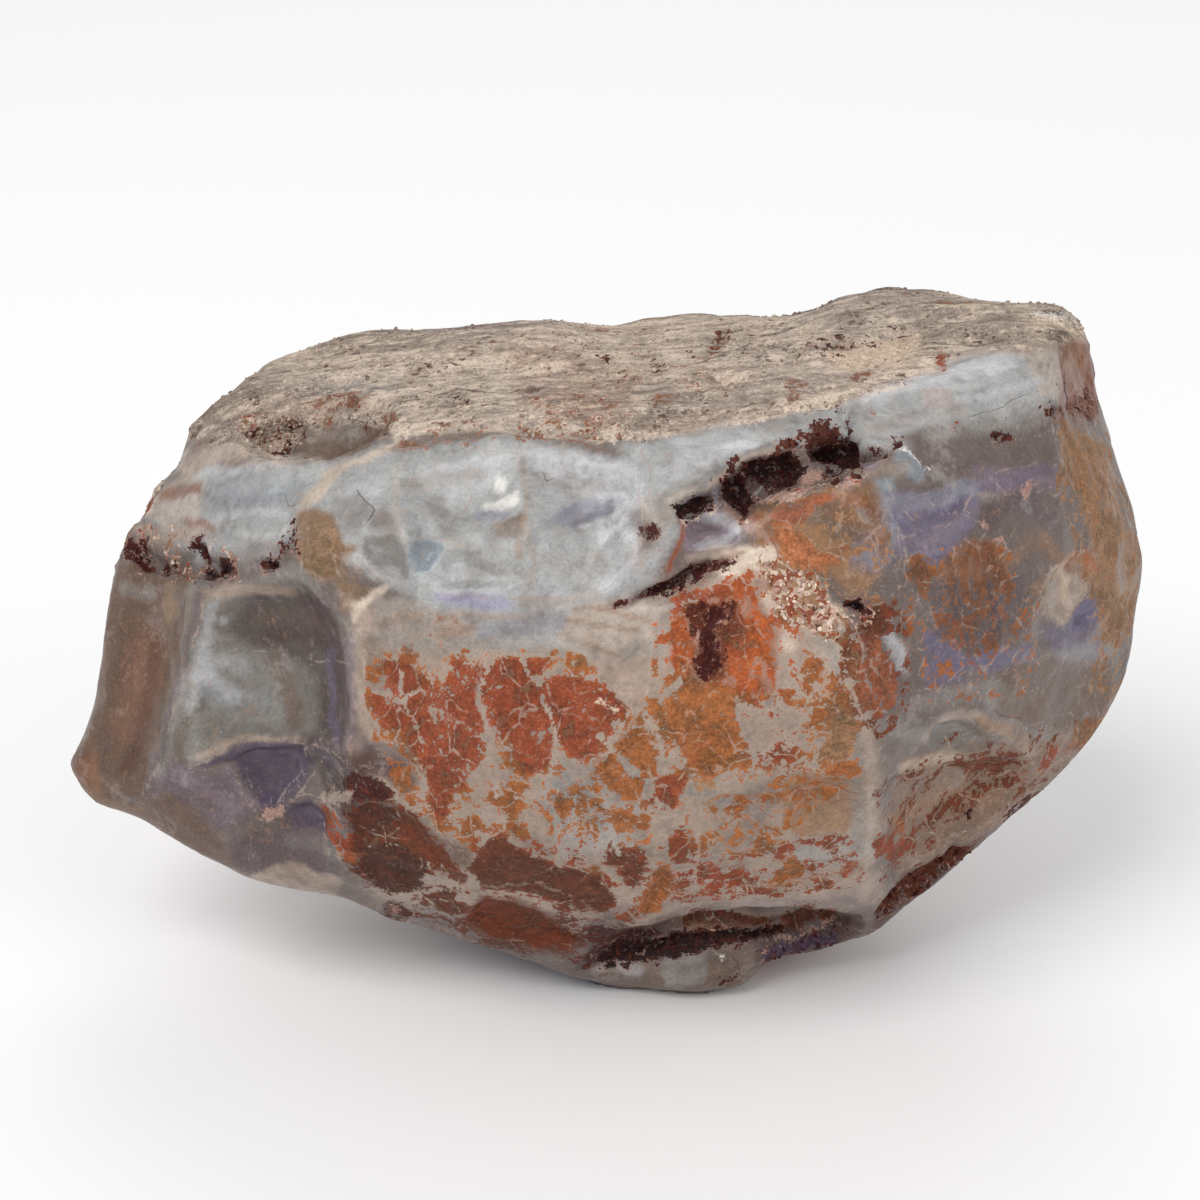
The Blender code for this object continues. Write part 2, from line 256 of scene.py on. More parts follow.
stone, mesh = fineSkin()
points = smoothed(mesh, arrayOf(mesh.vertices, "co"), stoneShape["smoothing"])
points[:, 2] = np.where(points[:, 2] < stoneShape["flat"], 0, points[:, 2])
mesh.vertices.foreach_set("co", points.ravel())
mesh.update()
normals = arrayOf(mesh.vertex_normals, "vector")
shown = seenShare(points, normals)
wobble = np.stack([cloud(points, stoneShape["wobbleSize"], seed, 3) for seed in (3, 4)], 1)
spots = seenAt(points) + wobble * stoneShape["wobble"]
mesh.calc_loop_triangles()
print("stone skin:", len(mesh.loop_triangles), "triangles")


# Unseen side: shell-shaped breaks, each with its own depth and its own colour

unseenBreaks = {
    "count": 95,
    "sizes": (0.75, 1.3),
    "bendLength": 5 * mm,
    "bendDepth": 0.9,  # in mm
    "rim": 1.6 * mm,
    "deepest": 0.75 * mm,
    "shallowest": 0.25,  # as a share of the deepest
    "pigments": "smoke milk fog milk mauve taupe smoke ochre lavender tan smoke clay sage violet tan umber",
}


def breakUnseen():
    places = random.permutation(np.flatnonzero(shown < 0.6))[: unseenBreaks["count"]]
    sizes = random.uniform(*unseenBreaks["sizes"], len(places))
    bends = np.stack([cloud(points, unseenBreaks["bendLength"], seed, 2) for seed in (21, 22, 23)], 1)
    warped = points + bends * unseenBreaks["bendDepth"] * mm
    nearest = np.full((len(points), 2), 1e9)
    owner = np.zeros(len(points), int)
    for index, place in enumerate(places):
        away = np.linalg.norm(warped - points[place], axis=1) / sizes[index]
        closer = away < nearest[:, 0]
        nearest[:, 1] = np.where(closer, nearest[:, 0], np.minimum(nearest[:, 1], away))
        nearest[closer, 0] = away[closer]
        owner[closer] = index
    rim = nearest[:, 1] - nearest[:, 0]
    names = unseenBreaks["pigments"].split()
    hues = np.array([colourOf(names[pick]) for pick in random.integers(0, len(names), len(places))])
    depths = random.uniform(unseenBreaks["shallowest"], 1, len(places)) * unseenBreaks["deepest"]
    soft = ease(rim / unseenBreaks["rim"])
    sink = depths[owner] * soft
    ground = hues[owner] * soft[:, None] + colourOf("milk") * (1 - soft[:, None])
    return sink, ground, rim


sink, ground, rim = breakUnseen()
ground = towards(ground, "smoke", 0.35)
cloudy = cloud(points, 9 * mm, 31, 3)
ground = towards(ground, "ice", ease(cloudy) * 0.7)
ground = towards(ground, "violet", ease(cloud(points, 7 * mm, 33, 2) * 2 - 0.5) * 0.8)


# Ground colours of the photographed side

# Soft tints under the crisp marks, some of them painted shade and painted highlights: pigment, softness of
# the edge in pixels, strength, outline.
tints = {
    "bellyGround": ("milk", 24, 1, "350,600 430,610 640,580 780,560 860,640 880,760 880,900 760,925 560,930"
                    " 380,900 345,800"),
    "upperBand": ("ice", 16, 1, "200,470 330,460 400,437 480,430 600,445 640,440 740,425 800,413 900,388"
                  " 960,355 1050,345 1060,400 1000,430 900,450 760,440 700,490 640,600 560,620 430,610"
                  " 350,560 300,540 190,560 150,520"),
    "underBump": ("haze", 12, 0.8, "380,600 420,600 450,618 560,612 640,585 680,600 660,660 560,655 480,650"
                  " 400,655 370,640"),
    "underBumpBlue": ("ice", 10, 0.7, "458,618 500,622 561,620 556,645 500,648 470,640"),
    "underBumpGold": ("beige", 10, 0.5, "568,612 620,607 664,607 655,640 600,650 570,636"),
    "leftFacet": ("loam", 6, 1, "130,560 144,566 160,579 193,576 206,589 203,622 190,663 172,711 160,755"
                  " 139,796 101,800 80,790 60,770 68,755 86,732 91,704 98,648 106,604 116,571"),
    "leftPink": ("clay", 16, 0.42, "127,640 162,622 165,663 155,699 134,739 114,757 111,724 124,683"),
    "leftSpot": ("honey", 5, 0.6, "160,598 178,599 180,622 164,624"),
    "leftToe": ("tan", 8, 0.5, "60,770 70,740 92,740 104,790 92,804 78,792"),
    "scarGround": ("sage", 7, 1, "208,594 234,594 267,591 292,574 318,594 338,619 348,632 350,699 343,744"
                   " 328,747 313,742 285,739 254,738 234,744 213,757 188,769 172,757 178,732 185,699"
                   " 193,663 201,632"),
    # painted shadow at the top of the scar, under the block
    "scarTopShadow": ("shadow", 16, 0.75, "244,604 280,588 320,594 343,635 350,673 345,746 322,745 315,673"
                  " 295,658 249,648 229,627"),
    "scarMilk": ("mist", 16, 0.7, "205,655 229,650 270,660 305,690 290,725 240,728 216,716 205,690"),
    "scarOlive": ("olive", 8, 0.6, "190,676 210,683 208,706 196,722 184,730"),
    "scarFoot": ("sage", 8, 0.6, "180,735 215,715 250,730 215,752 190,765"),
    "inkBasin": ("ink", 6, 1, "193,770 223,752 254,742 313,742 310,765 295,790 280,808 262,806 244,785"
                 " 234,765 213,765"),
    "inkSlope": ("mauve", 10, 0.9, "150,785 172,758 193,773 229,775 244,801 262,824 234,836 193,805"
                 " 160,800"),
    "inkPool": ("ink", 6, 0.9, "277,826 280,818 290,806 308,801 323,813 328,831 305,832"),
    # painted shade in the corner where the scar meets the belly
    "scarCorner": ("shadow", 6, 0.9, "315,744 333,747 350,765 350,793 320,788 318,765"),
    "lowerSlope": ("dusk", 12, 1, "234,839 274,824 328,831 336,852 338,884 318,878 290,866 254,872"
                   " 229,866"),
    "toeSlope": ("loam", 12, 0.8, "90,800 142,798 172,796 208,826 240,866 203,862 162,836 120,815"),
    "paleFoot": ("milk", 5, 0.9, "245,880 260,870 290,862 320,875 342,882 336,898 290,892"),
    "blockFace": ("ice", 10, 1, "205,481 228,470 257,466 287,464 325,466 314,491 302,504 291,519 289,535"
                  " 264,542 237,541 218,535 209,512 201,497"),
    "blockBlue": ("teal", 14, 0.3, "214,492 260,478 312,478 300,500 262,512 222,515"),
    "blockFoot": ("fog", 6, 0.7, "235,545 276,541 282,556 240,562"),
    "blockLeft": ("beige", 8, 0.6, "150,512 176,478 200,470 205,500 190,545 160,530"),
    "honeyKnob": ("honey", 6, 1, "295,514 314,512 333,516 339,531 343,544 360,546 352,554 339,558"
                  " 339,573 325,583 314,581 299,565 295,554 297,535"),
    "honeyFoot": ("honey", 6, 0.7, "333,583 352,581 371,586 352,598 343,600"),
    "bumpEdge": ("sand", 5, 0.7, "300,504 316,490 328,474 343,463 371,451 398,439 400,448 371,459"
                 " 345,472 331,488 320,501 304,512"),
    "bumpFacetLeft": ("fog", 5, 0.6, "329,493 343,483 360,491 375,508 367,523 358,539 343,535 333,512"),
    "bumpFacetBrown": ("taupe", 6, 0.6, "379,510 390,512 400,523 404,539 390,539 371,527"),
    "bumpFacetGreen": ("sage", 6, 0.8, "367,539 390,535 404,544 408,565 410,579 383,573 364,560"),
    "bumpTeal": ("teal", 6, 1, "408,542 425,539 446,540 440,558 431,571 417,577 410,567"),
    "bumpCreamRidge": ("cream", 4, 0.6, "343,604 345,598 360,602 379,586 392,584 384,594 362,609"),
    "bumpCentre": ("ice", 8, 0.5, "398,501 407,480 435,469 467,460 499,457 517,473 522,496 527,519 517,547"
                   " 481,552 449,542 421,524 403,510"),
    "bumpOlive": ("taupe", 6, 0.8, "494,524 517,515 524,510 527,529 517,540 494,535"),
    "bumpSlate": ("slate", 7, 0.9, "550,522 563,508 591,499 618,494 625,501 607,515 573,526"),
    "bumpGrey": ("slate", 5, 0.5, "476,512 494,510 496,519 478,521"),
    "bumpMilk": ("pearl", 12, 0.5, "536,452 596,462 632,475 630,492 560,500 536,490"),
    "bumpViolet": ("lilac", 6, 0.7, "437,593 458,591 504,593 511,597 494,611 467,609 444,604"),
    "bumpFoot": ("pearl", 6, 0.2, "421,581 439,589 467,591 499,591 545,592 589,590 612,575 636,556"
                 " 630,582 606,600 560,600 500,600 440,596"),
    "rimBand": ("taupe", 7, 0.75, "382,450 412,435 444,423 481,418 515,416 540,418 563,427 600,440 628,456"
                " 600,458 560,446 515,436 471,440 437,446 400,452"),
    "bandRight": ("ice", 12, 0.9, "640,450 700,432 760,424 830,400 900,380 960,362 1047,352 1050,390"
                  " 960,405 900,425 855,420 800,425 740,448 690,480 650,500"),
    "bandGreen": ("milk", 10, 0.5, "640,500 700,480 660,540 640,575 625,560 640,530"),
    "bandOlive": ("beige", 10, 0.7, "1020,348 1060,345 1060,400 1040,398"),
    "bandPink": ("rose", 8, 0.35, "920,390 950,390 952,406 925,408"),
    "wedgePearl": ("pearl", 8, 0.4, "655,470 700,448 745,440 720,462 680,486"),
    "vugZone": ("tan", 10, 0.9, "752,510 800,497 843,486 878,480 884,520 893,556 870,590 850,600"
                " 830,570 775,560"),
    "vugZoneShade": ("umber", 12, 0.35, "800,500 872,485 880,530 868,560 840,545"),
    "vugZoneGrey": ("mauve", 10, 0.75, "843,548 860,536 894,540 896,568 868,574 850,568"),
    "lilacChip": ("lavender", 6, 1, "680,529 692,517 715,512 729,515 738,529 742,538 729,542 710,549"
                  " 696,556 685,547"),
    "pinkRidge": ("rose", 5, 0.7, "719,510 749,517 776,540 779,551 766,545 744,528 722,520"),
    "creamLump": ("cream", 8, 0.9, "712,548 740,544 776,546 778,566 760,580 730,578 712,570"),
    "brightGround": ("orange", 8, 0.55, "672,612 700,600 742,579 760,600 778,640 776,690 744,700 700,675"
                     " 670,665"),
    "crumbGround": ("sand", 7, 0.8, "765,560 784,558 797,570 816,576 832,600 843,607 846,622 830,638"
                    " 815,640 795,630 778,616 768,597"),
    "creamFace": ("milk", 8, 0.8, "790,632 835,628 845,660 826,690 808,700 800,660"),
    "taupeSlope": ("smoke", 12, 1, "900,434 940,426 1000,428 1050,420 1063,445 1050,466 990,466 930,462"),
    "lavenderSlope": ("lavender", 12, 0.85, "975,466 1063,461 1072,491 1040,505 1000,500 975,490"),
    "tealCorner": ("teal", 7, 0.9, "872,480 893,474 898,500 886,500"),
    "violetFace": ("violet", 9, 0.72, "882,490 908,489 937,489 975,478 984,491 982,520 967,535 952,554"
                   " 933,566 910,556 898,556 893,530 885,505"),
    "blueChip": ("teal", 5, 0.8, "891,459 904,445 915,459 927,468 925,478 915,480 898,472"),
    "greySlope": ("smoke", 14, 0.9, "985,495 1060,490 1078,530 1050,560 1000,550 975,530"),
    "ochreRidge": ("ochre", 12, 0.6, "948,552 971,540 993,542 1003,558 1011,587 995,600 960,592 942,577"),
    "brownViolet": ("dusk", 12, 0.8, "930,581 1024,575 1030,625 975,640 935,625"),
    "violetSpotA": ("violet", 8, 0.7, "922,628 950,630 960,650 962,681 928,685 922,658"),
    "violetSpotB": ("violet", 8, 0.8, "980,648 999,646 1013,654 997,677 983,675"),
    "violetSoft": ("violet", 14, 0.6, "1040,630 1070,622 1105,630 1100,670 1060,676"),
    "shellChip": ("milk", 4, 1, "1046,581 1054,564 1071,554 1085,552 1093,564 1093,585 1081,603 1073,616"
                  " 1064,628 1054,622 1040,613 1044,597"),
    "shellTop": ("ochre", 6, 0.9, "1070,553 1088,548 1098,566 1088,580 1076,572"),
    "violetWedge": ("violet", 5, 1, "1073,616 1085,601 1097,605 1101,622 1085,634 1067,632"),
    "ochreColumn": ("tan", 9, 0.85, "1061,422 1070,420 1084,430 1102,438 1112,453 1114,472 1119,491"
                    " 1121,510 1131,530 1140,541 1140,600 1126,640 1103,644 1101,622 1095,597 1093,560"
                    " 1086,533 1078,510 1080,487 1070,466 1061,450"),
    "roseColumn": ("brick", 6, 0.65, "1059,350 1069,336 1082,338 1092,357 1096,377 1100,392 1100,418"
                   " 1078,419 1063,411 1059,392"),
    "roseTop": ("tan", 6, 0.6, "1060,350 1070,338 1082,342 1088,365 1070,372 1061,366"),
    "slateShell": ("sage", 8, 0.8, "926,722 948,717 975,728 985,748 960,758 928,754"),
    "lowRightBrown": ("tan", 14, 0.5, "900,760 960,750 1000,740 1075,735 1100,720 1100,745 1045,785"
                      " 960,850 900,880 888,820"),
    "rightLowGrey": ("fog", 14, 0.6, "1000,660 1120,640 1118,700 1060,740 1000,735 985,700"),
    "shellTan": ("tan", 8, 0.8, "780,785 803,772 866,770 866,814 849,835 824,842 790,835"),
    "bellyBlue": ("ice", 16, 0.5, "560,760 640,775 640,850 560,855 540,800"),
    "lowerBlue": ("ice", 12, 0.5, "790,840 860,835 880,850 840,870 790,872"),
    "lowerLip": ("mauve", 10, 0.5, "560,930 620,905 700,898 790,895 860,885 860,905 700,915 610,920"),
    "violetFacetSmall": ("mauve", 5, 0.6, "363,742 407,749 413,767 386,776 363,772"),
    "bottomFacet": ("russet", 6, 0.9, "457,925 478,895 514,900 537,907 560,918 586,939 583,951 560,957"
                    " 524,951 478,934"),
    # painted shade under the lip, in the undercut above the knob
    "underLipShade": ("maroon", 5, 0.6, "574,970 584,956 588,925 609,915 643,920 678,916 720,918 790,914"
                    " 862,915 862,935 760,956 720,946 650,952 613,965"),
    "knob": ("taupe", 5, 0.8, "596,972 616,959 636,948 678,943 710,939 731,937 747,940 758,952 756,970"
             " 742,990 700,996 640,992 600,986"),
    "knobPale": ("fog", 6, 0.7, "660,955 706,950 705,984 664,986"),
    "crustBed": ("beige", 5, 1, "150,520 165,480 187,440 245,450 290,454 293,434 306,426 350,425"
                 " 386,429 400,437 480,428 600,443 640,440 740,425"
                " 800,413 900,388 960,355 1050,345 1110,330 1100,250 700,240 200,260 100,440"),
    "crustTop": ("sand", 20, 0.3, "250,370 330,330 560,310 780,315 780,330 560,345 330,360"),
    "crustGreyEnd": ("smoke", 10, 0.4, "185,430 205,408 240,420 232,446 192,446"),
    "crustGreyTop": ("smoke", 14, 0.35, "300,330 420,318 520,318 505,340 400,350 310,356"),
    "crustPale": ("cream", 12, 0.4, "330,375 430,352 560,340 700,345 700,360 560,362 430,378 340,392"),
    "crustBlue": ("fog", 8, 0.6, "301,391 360,383 398,382 398,390 340,396 302,398"),
    "crustBlueB": ("fog", 6, 0.6, "516,392 524,388 548,386 552,392 530,396"),
    "crustPink": ("clay", 12, 0.35, "500,350 560,345 640,380 620,430 560,420 520,395"),
    "crustOlive": ("olive", 8, 0.5, "624,415 656,411 676,413 646,430 622,428"),
    "crustWarm": ("clay", 10, 0.2, "240,400 330,392 390,404 380,414 300,412 236,420"),
    "crustPinkCream": ("rose", 6, 0.4, "705,370 753,370 756,384 712,386"),
    "crustHump": ("smoke", 12, 0.25, "820,310 850,290 900,275 962,280 970,300 900,318 850,330"),
    "crustRight": ("olive", 14, 0.3, "900,320 960,310 1040,312 1085,318 1085,338 1040,350 960,345 925,349"),
    "crustEndDark": ("olive", 8, 0.6, "1047,322 1085,320 1090,336 1050,340"),
    "crustMiddleGrey": ("smoke", 12, 0.25, "640,390 780,372 860,380 880,392 780,408 650,415"),
    "crustRimPale": ("milk", 7, 0.7, "640,421 736,405 798,394 880,384 930,368 960,352 1050,342 1050,350"
                     " 962,362 900,392 800,407 738,420 640,440"),
    "underRim": ("umber", 6, 0.9, "866,938 879,907 888,891 904,873 922,863 941,852 954,845 975,842"
                 " 1000,826 1040,790 1050,786 952,880 912,908 884,930"),
    "ridgeStrip": ("fog", 8, 0.6, "190,582 206,580 205,612 194,655 184,690 172,730 156,776 143,790"
                   " 150,755 166,705"
                   " 176,660"),
    "scarBevel": ("fog", 6, 0.35, "336,612 350,618 357,650 358,700 352,744 344,744 349,700 347,650"),
    "scarBevelRose": ("rose", 4, 0.5, "349,700 356,700 354,750 346,748"),
    "scarTopLight": ("mist", 8, 0.6, "208,590 240,582 300,560 318,590 290,578 236,596 214,610"),
    # The next four tints are painted highlights on the glassy bump.
    "bumpHighlight": ("white", 4, 0.9, "492,480 501,476 508,483 504,492 494,490"),
    "bumpHighlightStreak": ("white", 4, 0.8, "483,502 499,499 517,488 516,501 494,508"),
    "bumpHighlightCurveA": ("pearl", 4, 0.6, "614,494 630,496 628,510 614,522 602,545 598,532 612,517"),
    "bumpHighlightCurveB": ("pearl", 4, 0.5, "622,529 632,526 634,540 624,544"),
    "scarGlintA": ("pearl", 4, 0.5, "203,648 211,656 216,672 214,684 207,684 201,668"),
    "scarGlintB": ("pearl", 4, 0.8, "216,686 234,688 254,698 240,702 220,697"),
    "scarGlintC": ("pearl", 4, 0.5, "212,612 217,613 220,619 214,618"),
    "scarGlintD": ("pearl", 4, 0.5, "222,616 227,617 228,624 223,622"),
    "knobWisps": ("pearl", 6, 0.5, "612,964 630,962 644,970 640,976 620,972"),
    "knobWispsB": ("pearl", 6, 0.5, "648,958 662,954 666,960 652,964"),
    "footPale": ("milk", 6, 0.5, "592,962 606,962 608,972 596,973"),
    "creamPatchA": ("milk", 6, 0.5, "500,745 516,760 520,782 545,800 536,812 512,790 498,768"),
    "creamPatchB": ("milk", 6, 0.5, "565,745 580,765 600,770 640,800 630,812 596,796 566,774"),
    "whiteSpot": ("pearl", 6, 0.45, "883,626 897,642 907,654 907,667 897,671 891,658 883,640"),
    "rimGlint": ("white", 6, 0.8, "1043,309 1071,311 1080,328 1057,321 1037,313"),
    "creamStreaksA": ("cream", 6, 0.5, "462,382 510,370 560,360 562,366 512,378 466,388"),
    "creamStreaksB": ("sand", 6, 0.5, "560,376 640,364 700,368 712,376 640,374 566,386"),
    "hollowRim": ("cream", 6, 0.5, "388,425 422,418 466,411 468,414 447,426 418,433 393,441"),
    "hollowGlass": ("taupe", 4, 0.85, "294,430 306,424 350,424 386,428 372,444 330,457 300,452"),
    "plateauTint": ("sand", 8, 0.9, "824,352 860,340 922,334 924,352 900,368 850,372"),
    "pinkRise": ("rose", 10, 0.75, "744,566 790,580 800,640 778,636 764,600"),
    "rightBrownSoft": ("loam", 12, 0.85, "996,664 1060,656 1112,664 1112,728 1060,736 1000,716"),
    "crustLeftShade": ("taupe", 16, 0.5, "196,420 212,396 240,380 280,376 270,396 236,412"),
    # painted shade on the toe
    "toeTip": ("bark", 10, 0.8, "60,740 90,740 96,790 64,790"),
}
